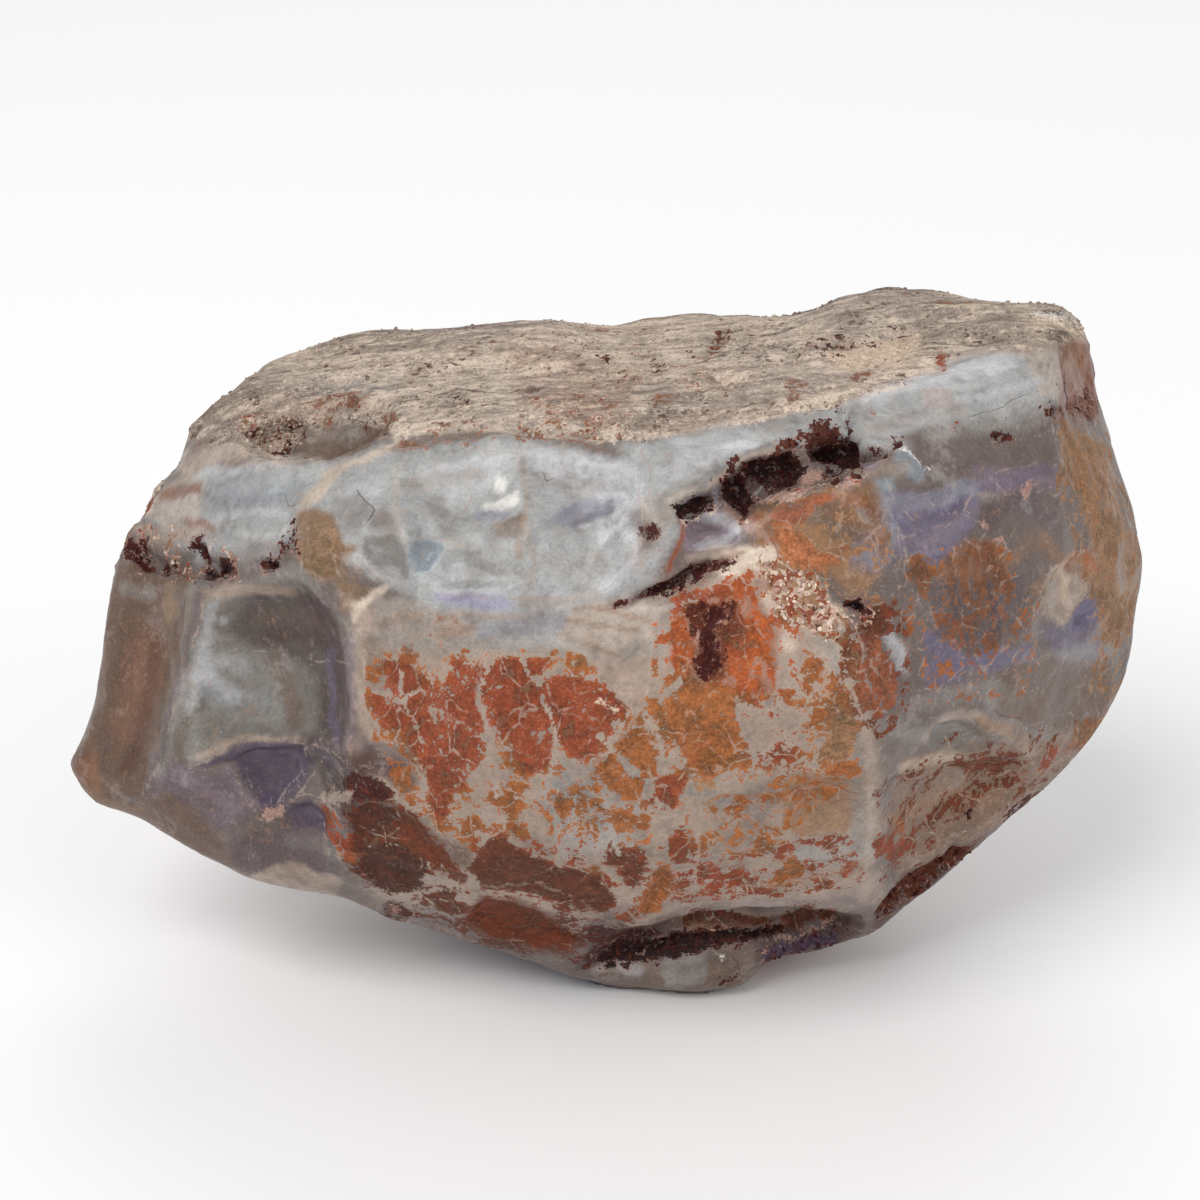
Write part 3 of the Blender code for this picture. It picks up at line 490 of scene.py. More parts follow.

# Soft strokes over the tints, many of them painted light and painted shade: pigment, half width in pixels,
# strength, route.
strokes = {
    "scarBandA": ("dusk", 7, 0.6, "252,602 290,592 330,612"),
    "scarBandB": ("umber", 9, 0.35, "262,640 300,632 338,650"),
    "scarBandC": ("loam", 7, 0.5, "258,618 300,612 340,632"),
    "scarTealA": ("ice", 8, 0.7, "200,668 222,662 244,670"),
    "scarTealB": ("teal", 12, 0.45, "208,690 240,698 262,702"),
    "scarTealC": ("mist", 8, 0.6, "218,690 240,696 258,704"),
    "scarEdgeLight": ("ice", 7, 0.8, "214,600 208,630 200,655 196,690 190,712"),
    "scarGreen": ("olive", 9, 0.6, "190,716 182,740 180,760"),
    "scarGreenB": ("mist", 8, 0.5, "204,716 196,738 190,756"),
    "scarShadeRight": ("dusk", 8, 0.7, "318,600 334,640 338,690 338,738"),
    "scarShadeRightB": ("violet", 5, 0.5, "331,650 334,700 334,740"),
    "scarTopEdge": ("milk", 8, 0.9, "210,594 240,590 262,588 288,592"),
    "scarBevelA": ("lavender", 5, 0.7, "346,640 352,690 350,740"),
    "leftRidgeShade": ("dusk", 7, 0.7, "200,596 190,640 178,690 162,742 146,792"),
    "leftRidgeLight": ("mist", 5, 0.6, "196,640 184,690 170,740 158,780"),
    "leftStriaeA": ("taupe", 5, 0.6, "188,600 180,650 168,700"),
    "leftTopLight": ("fog", 8, 0.5, "122,588 140,596 150,592"),
    "leftHoney": ("honey", 6, 0.5, "170,586 168,600 168,614"),
    "leftDark": ("umber", 8, 0.35, "158,640 148,690 140,740 128,770"),
    "leftEdgeGreen": ("loam", 9, 0.6, "112,600 104,660 96,720"),
    "toeRidge": ("tan", 5, 0.4, "66,770 84,796 110,806 140,812"),
    "slopeEdge": ("milk", 6, 0.2, "150,826 200,856 244,880 300,896"),
    "inkArc": ("milk", 4, 0.8, "196,760 222,745 250,737 300,738 330,743 352,764"),
    "inkShade": ("ink", 12, 0.7, "250,752 290,750 304,764 292,792 270,806"),
    "inkSlopeA": ("lavender", 5, 0.6, "226,772 240,790 256,806"),
    "inkSlopeC": ("lavender", 7, 0.6, "186,780 210,792 236,808"),
    "inkBelow": ("olive", 10, 0.5, "238,826 262,828 280,820"),
    "junction": ("maroon", 14, 0.8, "350,760 362,790 372,810"),
    "junctionB": ("dusk", 16, 0.9, "328,748 340,770 352,792"),
    "slopeGlaze": ("mist", 8, 0.4, "290,842 320,846 338,856"),
    "blockLightA": ("pearl", 6, 0.6, "196,474 240,468 290,462"),
    "blockLightB": ("pearl", 5, 0.5, "220,520 250,512 286,516"),
    "blockLightC": ("white", 4, 0.25, "240,536 262,540 288,528"),
    "blockShadeA": ("slate", 7, 0.4, "206,506 240,500 284,500"),
    "blockShadeB": ("haze", 7, 0.6, "176,530 196,524 214,540"),
    "blockShadeC": ("haze", 6, 0.6, "150,508 170,520 190,536"),
    "blockRimTop": ("milk", 5, 0.7, "170,470 190,452 214,442 244,452"),
    "honeyLight": ("beige", 6, 0.35, "338,468 316,490 298,512"),
    "honeyShade": ("honey", 12, 0.7, "312,520 330,548 338,572 352,586"),
    "honeyShadeB": ("taupe", 6, 0.6, "344,556 352,570 348,580"),
    "ridgeAcross": ("cream", 5, 0.5, "380,590 368,602 354,618"),
    "ridgeGreen": ("honey", 7, 0.55, "344,606 356,596 366,588"),
    "bumpTopA": ("pearl", 6, 0.6, "520,458 560,460 600,464 632,470"),
    "bumpTopB": ("pearl", 5, 0.5, "440,472 470,462 500,458"),
    "bumpTopC": ("haze", 6, 0.6, "400,486 440,478 480,474"),
    "bumpShadeA": ("slate", 9, 0.6, "556,520 580,508 606,500"),
    "bumpShadeB": ("slate", 7, 0.6, "478,516 490,510 504,512"),
    "bumpShadeC": ("mist", 12, 0.6, "436,500 450,530 470,552"),
    "bumpShadeD": ("mist", 10, 0.6, "470,572 500,566 524,576"),
    "bumpShadeE": ("fog", 12, 0.6, "546,560 580,572 600,566"),
    "bumpShadeF": ("haze", 9, 0.7, "494,528 510,534 524,526"),
    "bumpShadeG": ("fog", 9, 0.6, "540,480 570,490 600,486"),
    # The next two strokes are painted highlights on the glassy bump.
    "bumpHighlightStrokeA": ("pearl", 4, 0.8, "600,496 624,494 634,504 626,520 612,534 602,546"),
    "bumpHighlightStrokeB": ("white", 5, 0.7, "484,504 500,506 516,498"),
    "bumpWhiteLow": ("pearl", 5, 0.1, "424,578 440,588 470,586 510,590"),
    "bumpSeamA": ("haze", 4, 0.7, "520,450 527,486 525,526 535,562 524,597"),
    "bumpSeamB": ("beige", 4, 0.35, "400,460 394,500 404,540"),
    "bumpEdgeRight": ("pearl", 5, 0.45, "636,470 641,504 636,540 634,557 616,582 588,595"),
    "bumpLeftA": ("pearl", 6, 0.5, "346,494 360,488 378,492"),
    "bumpLeftShade": ("mist", 7, 0.6, "352,520 364,510 372,516"),
    "violetFoot": ("lilac", 6, 0.7, "440,594 470,602 510,604"),
    "bandLightA": ("pearl", 6, 0.55, "700,462 726,448 752,442"),
    "bandLightB": ("pearl", 6, 0.5, "860,400 900,388 950,376 1010,366"),
    "bandLightC": ("pearl", 5, 0.5, "960,400 1000,392 1040,380"),
    "bandShadeA": ("mist", 9, 0.6, "664,500 690,482 720,466"),
    "bandShadeB": ("haze", 9, 0.6, "870,430 910,420 960,408"),
    "bandShadeC": ("mist", 8, 0.5, "760,430 790,424 820,410"),
    "bandLower": ("fog", 8, 0.6, "950,432 1000,416 1050,404"),
    "underA": ("slate", 10, 0.5, "480,634 520,628 560,620"),
    "underB": ("beige", 8, 0.6, "590,610 630,606 660,600"),
    "underC": ("sand", 6, 0.2, "600,628 630,630 656,638"),
    "underD": ("haze", 8, 0.7, "380,600 410,606 440,616"),
    "underE": ("honey", 6, 0.4, "380,624 400,616 420,612"),
    "underF": ("mist", 8, 0.5, "440,640 470,646 500,640"),
    "violetStreakA": ("violet", 8, 0.4, "890,520 930,512 980,488 1050,470"),
    "violetStreakC": ("mist", 5, 0.5, "930,470 960,486 990,500"),
    "violetShade": ("dusk", 12, 0.6, "990,520 1020,500 1050,520"),
    "violetShadeB": ("smoke", 10, 0.5, "930,452 980,446 1040,440"),
    "slateEdge": ("fog", 5, 0.6, "905,418 960,424 1050,412"),
    "tealWedge": ("teal", 8, 0.35, "878,488 884,510 892,540"),
    "rightLilac": ("violet", 9, 0.7, "930,640 960,660 1000,664 1030,650"),
    "rightGreyB": ("mist", 10, 0.6, "880,730 930,736 960,720"),
    "rightWhite": ("pearl", 5, 0.4, "886,626 900,650 906,672"),
    "rightTan": ("tan", 10, 0.5, "1010,560 1040,540 1064,560"),
    "rightTanB": ("tan", 8, 0.5, "1036,590 1056,580 1072,566"),
    "rightLowB": ("umber", 8, 0.6, "1050,800 1080,760 1108,720 1126,680"),
    "rightLowC": ("sand", 6, 0.5, "900,770 950,756 1000,770"),
    "rightLowD": ("tan", 10, 0.5, "890,820 940,800 990,800"),
    "paleCurveSoft": ("milk", 6, 0.7, "926,738 946,716 976,712 1004,730 1030,752"),
    "columnPale": ("mist", 9, 0.7, "846,716 856,760 860,810 856,850"),
    "bellyPaleA": ("haze", 9, 0.7, "690,790 730,806 770,826"),
    "bellyPaleB": ("mist", 8, 0.6, "596,768 630,760 650,790"),
    "bellyPaleC": ("mist", 10, 0.6, "560,780 580,800 600,830"),
    "creamFaceA": ("milk", 8, 0.7, "800,640 816,660 820,690 806,716"),
    "creamFaceB": ("mist", 8, 0.6, "822,640 836,660 840,700"),
    "lowerLipA": ("milk", 6, 0.6, "640,920 700,900 780,892 850,890"),
    "shadowSlot": ("hematite", 9, 0.85, "596,956 626,946 650,938"),
    "shadowSlotB": ("maroon", 9, 0.6, "760,958 800,948 850,944"),
    "hollowEdge": ("loam", 7, 0.7, "300,458 330,456 366,438 384,430"),
    "hollowDark": ("shadow", 7, 0.7, "256,440 276,450 300,452"),
    "leftBeige": ("beige", 12, 0.8, "186,470 200,458 236,452 280,456"),
    "trailPale": ("milk", 8, 0.6, "862,472 880,466 900,470"),
    "rightGrey": ("fog", 10, 0.4, "920,700 960,694 1000,690"),
    "facetDark": ("umber", 16, 0.7, "356,800 390,810 430,840 460,856"),
    "slateMottle": ("mist", 9, 0.6, "930,436 980,428 1040,420"),
    "vugGreyA": ("taupe", 10, 0.7, "790,500 820,520 850,536"),
    "vugGreyB": ("fog", 8, 0.5, "820,500 850,496 866,520"),
    "cornerPale": ("sand", 9, 0.8, "1036,322 1062,322 1084,334"),
    "bandTopPale": ("cream", 8, 0.7, "780,394 820,399 850,386 880,378 930,366"),
    # painted shade along the lower right edge
    "rightEdgeShade": ("bark", 14, 1, "1070,748 1085,742 1100,728 1114,712"),
    "rightFibreA": ("umber", 5, 0.4, "950,560 956,600 970,650"),
    "rightFibreB": ("umber", 5, 0.4, "984,560 990,600 996,640"),
    "shellOrangeTop": ("orange", 6, 0.5, "1064,562 1080,556 1096,566"),
    "bandSpot": ("smoke", 10, 0.8, "638,512 642,526 646,542"),
    "scarMidDark": ("loam", 12, 0.6, "276,664 290,690 296,720"),
    "leftVugPale": ("milk", 8, 0.7, "140,530 160,540 180,536 200,530"),
    "junctionC": ("umber", 14, 0.75, "366,764 392,770 404,782"),
    "junctionD": ("maroon", 10, 0.8, "344,800 350,820 362,836"),
    "pinkRiseB": ("cream", 9, 0.6, "770,600 784,620 790,646"),
    "bumpFootShade": ("haze", 8, 0.7, "528,602 562,602 598,594"),
    "toeShade": ("loam", 11, 0.9, "84,744 74,758 72,772 80,786"),
    "cornerShade": ("shadow", 15, 1, "314,746 330,758 333,778"),
    "toeSlopeShade": ("loam", 12, 0.5, "160,826 176,836 200,850"),
    "underChipPale": ("milk", 5, 0.8, "690,558 712,553 732,546"),
    "rightDusk": ("dusk", 12, 0.8, "940,630 958,636 980,640"),
    # more painted shade in the same corner
    "cornerShadeInk": ("ink", 8, 0.5, "316,748 330,760"),
    "rightTanD": ("tan", 8, 0.6, "984,722 1001,726 1020,734"),
    "vugZoneOchre": ("ochre", 10, 0.6, "760,520 790,512 830,496 860,500"),
    "vugZoneBlue": ("slate", 10, 0.6, "856,552 872,560 884,556"),
    "chipPale": ("pearl", 5, 0.6, "700,546 722,540 736,528"),
    "chipMauve": ("mauve", 7, 0.6, "684,532 700,524 716,522"),
    "violetFaceA": ("slate", 12, 0.6, "892,500 930,500 970,488"),
    "violetFaceB": ("lavender", 9, 0.5, "905,540 930,548 960,520"),
    "violetFaceC": ("ink", 8, 0.35, "920,520 945,514 968,504"),
    # painted shade inside the hollow behind the block's rim
    "hollowGlassDark": ("loam", 6, 0.8, "322,454 350,448 376,436"),
    "hollowGlassLight": ("haze", 6, 0.6, "306,430 330,428 356,430"),
    "bumpHoney": ("honey", 5, 0.5, "523,518 519,538 521,556"),
    "blockRoseA": ("clay", 6, 0.85, "166,497 184,490 198,489"),
    "blockRoseB": ("clay", 5, 0.7, "188,521 204,525 210,530"),
    "shellStripeA": ("haze", 4, 0.7, "1052,572 1060,590 1060,612"),
    "shellStripeB": ("sand", 4, 0.7, "1064,562 1074,580 1070,602"),
    "shellStripeC": ("haze", 4, 0.6, "1080,560 1086,580 1078,600"),
    "chipTopPale": ("pearl", 5, 0.7, "704,517 722,519 738,526"),
    "vugZoneEdge": ("bark", 9, 0.75, "872,500 880,526 882,552"),
    "lumpClay": ("clay", 4, 0.6, "716,561 730,556 742,551"),
    "vugRimCream": ("cream", 4, 0.35, "668,500 690,491 712,486 720,476 738,460 762,450 790,442"),
    "bellyEdgeShade": ("taupe", 10, 0.6, "366,640 374,656 378,676"),
    "bellyEdgeDusk": ("dusk", 9, 0.6, "354,730 360,742 366,752"),
    "slotGround": ("maroon", 5, 0.85, "616,604 632,602 650,594 668,584 690,574 710,566 728,560"),
    "vugGround": ("maroon", 7, 0.7, "728,498 746,488 764,480"),
    "leftVugGroundA": ("maroon", 6, 0.8, "130,546 138,556 146,566"),
    "leftVugGroundB": ("maroon", 5, 0.7, "194,540 202,549 208,556"),
    "leftVugGroundC": ("hematite", 5, 0.8, "202,569 216,570 230,570"),
    "leftVugGroundD": ("hematite", 4, 0.7, "264,564 277,564"),
    "underChipLine": ("brick", 3, 0.8, "678,520 680,530 679,543 673,557 667,570"),
    "goldLineA": ("honey", 3, 0.6, "559,634 585,642 618,653"),
    "goldLineB": ("honey", 3, 0.55, "568,620 600,624 637,632"),
    "goldLineC": ("tan", 3, 0.5, "575,608 610,610 650,622"),
    "scarGlow": ("pearl", 9, 0.5, "200,676 214,684 236,694"),
    "underG": ("tan", 7, 0.45, "440,634 456,632 470,630"),
    # painted shade on the toe
    "toeCore": ("bark", 9, 0.6, "66,766 74,772 82,776"),
    "hollowLowerLight": ("haze", 9, 0.6, "290,462 304,458 320,460"),
    "crustDusk": ("taupe", 7, 0.45, "424,408 438,405 452,408"),
}

front = np.tile(colourOf("smoke"), (len(points), 1))
for pigment, softness, strength, outline in tints.values():
    near, _, signed = nearRoute(spots, outline, softness)
    front[near] = towards(front[near], pigment, ease(signed / softness + 0.5) * strength)
for pigment, half, strength, route in strokes.values():
    near, away, _ = nearRoute(spots, route, half * 1.6, closed=False)
    front[near] = towards(front[near], pigment, ease(1.3 - away / half) * strength)
ground = towards(ground, front, shown)
print("ground colours:", len(tints), "tints,", len(strokes), "strokes")


# Crisp marks. For each kind, a field says how far inside a mark's edge each vertex is, in pixels, and a
# second one which pigment the mark has there. The material breaks the edge up with noise.

fieldReach = 14  # how far from a mark's edge its field is kept, in pixels
gapReach = 12
lineReach = 9
crustReach = 30

# Clay and iron stains: pigment, how full the stain is in pixels (low is speckled), outline.
stains = {
    "washLeft": ("ochre", -0.3, "368,650 420,655 480,650 560,650 600,670 600,800 560,840 470,850"
                 " 400,790 372,740"),
    "washMiddle": ("ochre", -1.2, "560,740 640,700 650,860 600,900 540,880 520,800"),
    "washBelly": ("ochre", -0.3, "650,660 790,640 860,700 856,780 780,850 700,860 670,780"),
    "washBright": ("orange", -1.5, "655,600 700,585 750,572 800,630 800,690 700,700 660,690"),
    "washLow": ("rust", -0.8, "480,830 640,850 700,850 860,840 860,880 700,900 600,930 470,890"),
    "washFoot": ("chestnut", 0.5, "400,885 480,890 600,920 590,965 480,945 420,920"),
    "washVug": ("tan", -2.2, "750,505 850,480 890,540 900,600 860,640 780,620 760,560"),
    "washColumn": ("russet", -0.5, "846,610 900,600 915,700 880,740 840,700"),
    "washRight": ("ochre", -2.5, "905,560 1010,540 1040,600 1030,690 930,700 905,640"),
    "washRightEdge": ("tan", -1, "1060,420 1110,430 1145,560 1115,700 1085,690 1095,600 1060,480"),
    "washRightLow": ("russet", -2, "880,790 960,745 1100,715 1110,735 1050,785 950,870 885,880"),
    "speckledLeft": ("rust", 5, "378,658 397,661 418,670 409,684 395,677 386,689 397,705 404,716 402,730"
                     " 381,730 373,712 372,693 384,680"),
    "triangle": ("ochre", 6, "441,666 466,656 480,675 459,674"),
    "sliver": ("ochre", 6, "432,676 448,677 462,693 475,716 459,718 439,705 434,691"),
    "strip": ("rust", 6, "400,707 420,700 432,716 455,728 450,739 448,762 455,781 452,801 450,817 436,817"
              " 423,781 418,758 407,735"),
    "redField": ("rust", 5.5, "489,668 503,666 517,682 528,687 547,680 560,673 576,674 593,680 606,679"
                 " 615,693 632,710 625,721 615,716 618,732 599,749 588,760 579,762 563,755 556,739 551,758"
                 " 547,772 528,776 517,767 510,744 498,735 482,707 478,691"),
    "redFieldEdge": ("rust", 5, "484,672 500,656 526,655 552,656 548,676 528,684 512,678 500,690 486,690"),
    "redFieldRight": ("rust", 5, "596,684 612,690 632,710 624,722 606,704"),
    "middleField": ("ochre", 6, "620,737 636,728 652,737 659,758 655,776 641,795 622,804 609,795 602,779"
                    " 593,767"),
    "drop": ("rust", 6, "668,833 684,824 689,845 687,863 673,868"),
    "smallShell": ("ochre", 5.5, "540,811 556,804 567,799 570,822 565,840 558,850 547,833 539,822"),
    "fan": ("ochre", 3, "583,868 595,863 604,870 615,866 620,854 641,852 627,868 615,893 599,893 586,879"),
    "leaf": ("ochre", 6, "645,891 650,877 664,856 671,873 671,895 661,916 645,918 638,907"),
    "bandTail": ("russet", 7, "542,886 570,884 593,895 613,912 613,918 593,916 560,907 547,898"),
    "brownFacet": ("russet", 9, "340,822 354,801 386,799 418,815 436,836 452,859 478,879 464,884 441,875"
                   " 420,875 418,891 386,893 354,875 340,852"),
    "brownFacetLow": ("umber", 9, "352,850 390,842 430,868 420,890 388,893 356,876"),
    "brownFacetEdge": ("orange", 3.5, "330,812 342,822 348,842 356,858 350,866 340,850 332,832"),
    "darkEye": ("umber", 4, "380,912 390,899 402,903 412,916 402,920"),
    "mottledFoot": ("chestnut", 3.5, "427,893 455,891 459,905 446,916 432,905"),
    "bottomFacetStain": ("russet", 9, "462,922 480,898 514,903 537,910 556,920 578,938 578,948 556,954"
                         " 524,948 484,936"),
    "maroonFoot": ("maroon", 5.5, "583,925 615,923 648,928 668,930 645,941 615,957 588,967 579,962"
                   " 590,948"),
    "ochreBelly": ("ochre", 5.5, "661,681 675,674 693,672 702,677 721,677 734,684 741,707 744,732 734,769"
                   " 718,780 698,775 686,757 670,732 663,716"),
    "ochreBellySide": ("ochre", 4.5, "645,700 661,695 668,718 659,725 643,711"),
    "ochreBellyLow": ("tan", 3.5, "690,775 716,782 724,800 704,812 690,798"),
    "brightField": ("orange", 4, "669,620 692,607 715,588 729,584 742,579 756,597 774,620 774,643 776,695"
                    " 762,688 744,697 734,681 700,672 672,668"),
    "brightFieldTop": ("rust", 4.5, "665,604 680,594 700,590 719,586 732,590 716,606 694,610 676,618"),
    "speckledColumn": ("brick", 4.5, "856,640 881,640 891,663 899,683 897,707 881,720 864,713 852,683"
                       " 848,662 860,622"),
    "tanColumn": ("tan", 7, "831,711 842,693 849,697 856,723 861,748 847,769 826,771 817,752 826,732"),
    "columnTop": ("ochre", 4, "836,686 846,682 852,700 848,720 838,706"),
    "shellCore": ("ochre", 4.5, "821,762 838,758 860,760 862,774 842,778 824,774"),
    "lowSliver": ("ochre", 4, "767,881 790,853 799,856 808,874 790,883 771,888"),
    "lowCrescent": ("rust", 4.5, "833,879 856,860 870,872 854,876 838,883"),
    "lowChip": ("rust", 4, "725,870 741,856 751,870 737,883 728,886"),
    "smallSpecksC": ("ochre", 0, "700,812 760,808 770,850 716,858 698,836"),
    "smallSpecksD": ("rust", -2, "735,700 778,700 800,716 796,760 756,768 742,740"),
    "smallSpecksE": ("clay", -1.5, "390,620 440,614 462,622 448,650 402,652"),
    "smallSpecksF": ("rust", 3, "690,868 726,866 730,892 700,896"),
    "smallSpecksH": ("rust", 3.2, "876,836 905,826 912,846 892,862 876,856"),
    "smallSpecksI": ("ochre", 3.4, "895,820 940,800 948,812 905,838"),
    "smallSpecksJ": ("rust", 2.6, "400,730 420,740 424,760 408,756"),
    "smoothOrange": ("apricot", 8, "768,524 779,522 795,526 811,538 820,549 843,558 820,570 807,568"
                     " 791,568 779,558 777,542"),
    "vugFoot": ("brick", 7, "770,512 800,500 830,492 842,498 820,510 800,522 784,528 768,522"),
    "ridgeIsland": ("bark", 5.5, "905,577 918,554 930,573 932,589 928,603 918,593"),
    "rightOchre": ("bark", 4, "948,575 962,552 978,540 990,544 1000,562 1012,590 1010,610 996,628"
                   " 980,640 960,612 944,600"),
    "rightOchreLow": ("bark", 1, "930,600 1005,592 1018,640 975,655 940,640"),
    "rightColumnTop": ("tan", 3, "1061,422 1070,424 1082,434 1097,438 1107,453 1109,472 1114,491"
                       " 1116,510 1128,530 1137,541 1124,549 1109,549 1095,547 1086,533 1078,510 1080,487"
                       " 1072,466 1063,453"),
    "rightColumn": ("tan", 3.5, "1093,544 1109,540 1113,564 1122,589 1126,618 1115,638 1105,644 1101,622"
                    " 1095,597 1097,571"),
    "rightBand": ("russet", 3, "954,756 971,752 995,756 1013,750 1018,760 1003,773 971,783 960,771"),
    "rightBandEnd": ("rust", 4, "1036,764 1056,744 1067,746 1056,760 1040,771"),
    "rightEdgeStain": ("tan", 4.5, "1075,728 1105,713 1109,722 1085,745 1066,752"),
    "rightSpeckle": ("russet", -0.5, "900,800 950,785 1000,785 960,820 905,838"),
    "rustBlobsA": ("maroon", 9, "640,529 651,523 660,529 657,542 646,544"),
    "rustBlobsB": ("rust", 4, "658,538 664,541 660,549 655,545"),
    "rustSpotA": ("rust", 4.5, "934,350 942,350 945,366 940,369 937,360"),
    "rustSpotB": ("maroon", 5.5, "986,437 992,430 1002,424 1010,420 1006,428 1014,431 1012,438 998,439"),
    "rustSpotC": ("rust", 4.5, "952,422 959,417 966,417 960,424 955,428"),
    "roseColumnFoot": ("maroon", -2, "1060,384 1096,388 1098,414 1070,418 1060,404"),
    "lipRust": ("chestnut", 5, "678,922 701,908 735,911 756,917 775,920 747,929 714,931 687,927"),
    "lipRustRight": ("chestnut", 4.5, "779,917 799,904 829,906 838,913 822,922 793,929 781,927"),
    "orangeStreak": ("rust", 2, "322,808 332,818 350,848 344,852 330,834"),
    "honeyPatch": ("honey", 3.5, "299,540 330,530 345,548 330,575 306,568"),
    "crustRedA": ("clay", 0.5, "653,396 673,396 674,404 655,405"),
    "crustRedB": ("chestnut", 2, "711,334 733,329 728,343 719,354 709,355"),
    "crustRedC": ("clay", 0.5, "566,398 593,394 620,404 614,413 593,420 571,420"),
    "crustRedD": ("clay", 0.5, "296,410 325,404 352,399 366,401 340,412 316,417"),
    "crustRedE": ("clay", 0.5, "322,417 334,416 334,424 322,424"),
    "crustRedF": ("clay", 0.5, "381,413 393,413 394,423 382,423"),
    "crustRedG": ("clay", 0.5, "588,326 603,320 606,332 594,334"),
    "crustRedH": ("clay", 0.5, "788,380 806,384 808,400 790,404"),
    "crustRedI": ("clay", 0.5, "866,410 876,407 876,416 867,418"),
    "crustRedJ": ("clay", 1, "850,371 874,371 874,376 852,377"),
    "rimBandSpeckle": ("clay", -1.5, "400,446 440,428 500,420 560,424 600,440 560,440 510,438 450,444"),
    "leftJoin": ("rust", 3.5, "420,690 456,688 484,712 498,744 480,764 462,790 446,770 436,730"),
    "leafDark": ("russet", 6, "606,840 640,836 652,860 636,892 604,884"),
    "junctionStain": ("maroon", 4.5, "338,780 352,770 372,776 390,792 380,820 356,812"),
    "junctionRust": ("russet", 5, "346,812 366,800 392,804 400,840 372,842 350,834"),
    "belowMiddle": ("rust", 5, "648,790 661,776 691,776 684,790 680,806 664,812 652,804"),
    "brightShade": ("russet", 6, "684,600 742,598 744,630 730,650 730,682 702,682 696,640"),
    "columnTopDark": ("chestnut", 7, "856,606 886,604 892,642 862,640"),
    "lowerRust": ("rust", 3, "470,836 500,850 540,876 590,884 620,872 624,884 590,904 540,900 480,892"),
    "leftField": ("rust", 5, "384,668 404,660 440,690 452,656 486,668 480,700 498,735 480,740 440,712"
                  " 420,712 400,712 384,704"),
    "facetTopDark": ("umber", 9, "342,812 362,804 392,806 400,824 380,836 348,836"),
    "bellySpecks": ("ochre", 4, "610,812 650,816 656,842 620,846"),
    "lowBand": ("chestnut", 9, "464,868 484,842 500,830 520,846 546,862 580,868 604,882 622,900"
                " 610,918 590,912 560,902 520,894 484,893"),
}

# Pale gaps in the stain: half width in pixels, route.
gaps = {
    "gapA": (2.5, "470,640 486,664 478,700 492,744 500,800"),
    "gapC": (2.5, "640,680 632,712 612,744 600,764"),
    "gapD": (2.5, "600,735 624,764 648,778 664,812"),
    "gapE": (2.5, "690,780 700,820 694,880"),
    "gapF": (2.5, "580,812 604,826 620,852"),
    "gapG": (2.5, "780,800 812,826 850,850"),
    "gapJ": (2.5, "736,700 748,740 760,780"),
    "gapK": (2.5, "520,790 548,806 560,836"),
    "gapL": (2.5, "598,868 622,890 640,922"),
    "gapM": (2.5, "690,660 680,684 660,700"),
    "gapN": (2.5, "760,660 776,700 790,740"),
    "gapO": (2.5, "704,800 740,790 780,790"),
    "gapP": (3, "508,640 540,690 556,740 548,790"),
    "gapU": (2, "370,690 400,700 424,690"),
    "gapV": (2, "395,640 400,690 420,740"),
    "gapX": (2, "860,640 872,690 890,720"),
    "gapBright": (1.5, "752,590 744,620 756,650 750,690"),
    "gapBrightB": (1.5, "676,640 690,652 684,672"),
    "gapFibreA": (1.2, "968,556 972,600 980,650"),
    "gapFibreB": (1.2, "984,552 990,590 1000,640"),
    "gapFibreC": (1, "956,572 962,610 968,650"),
}
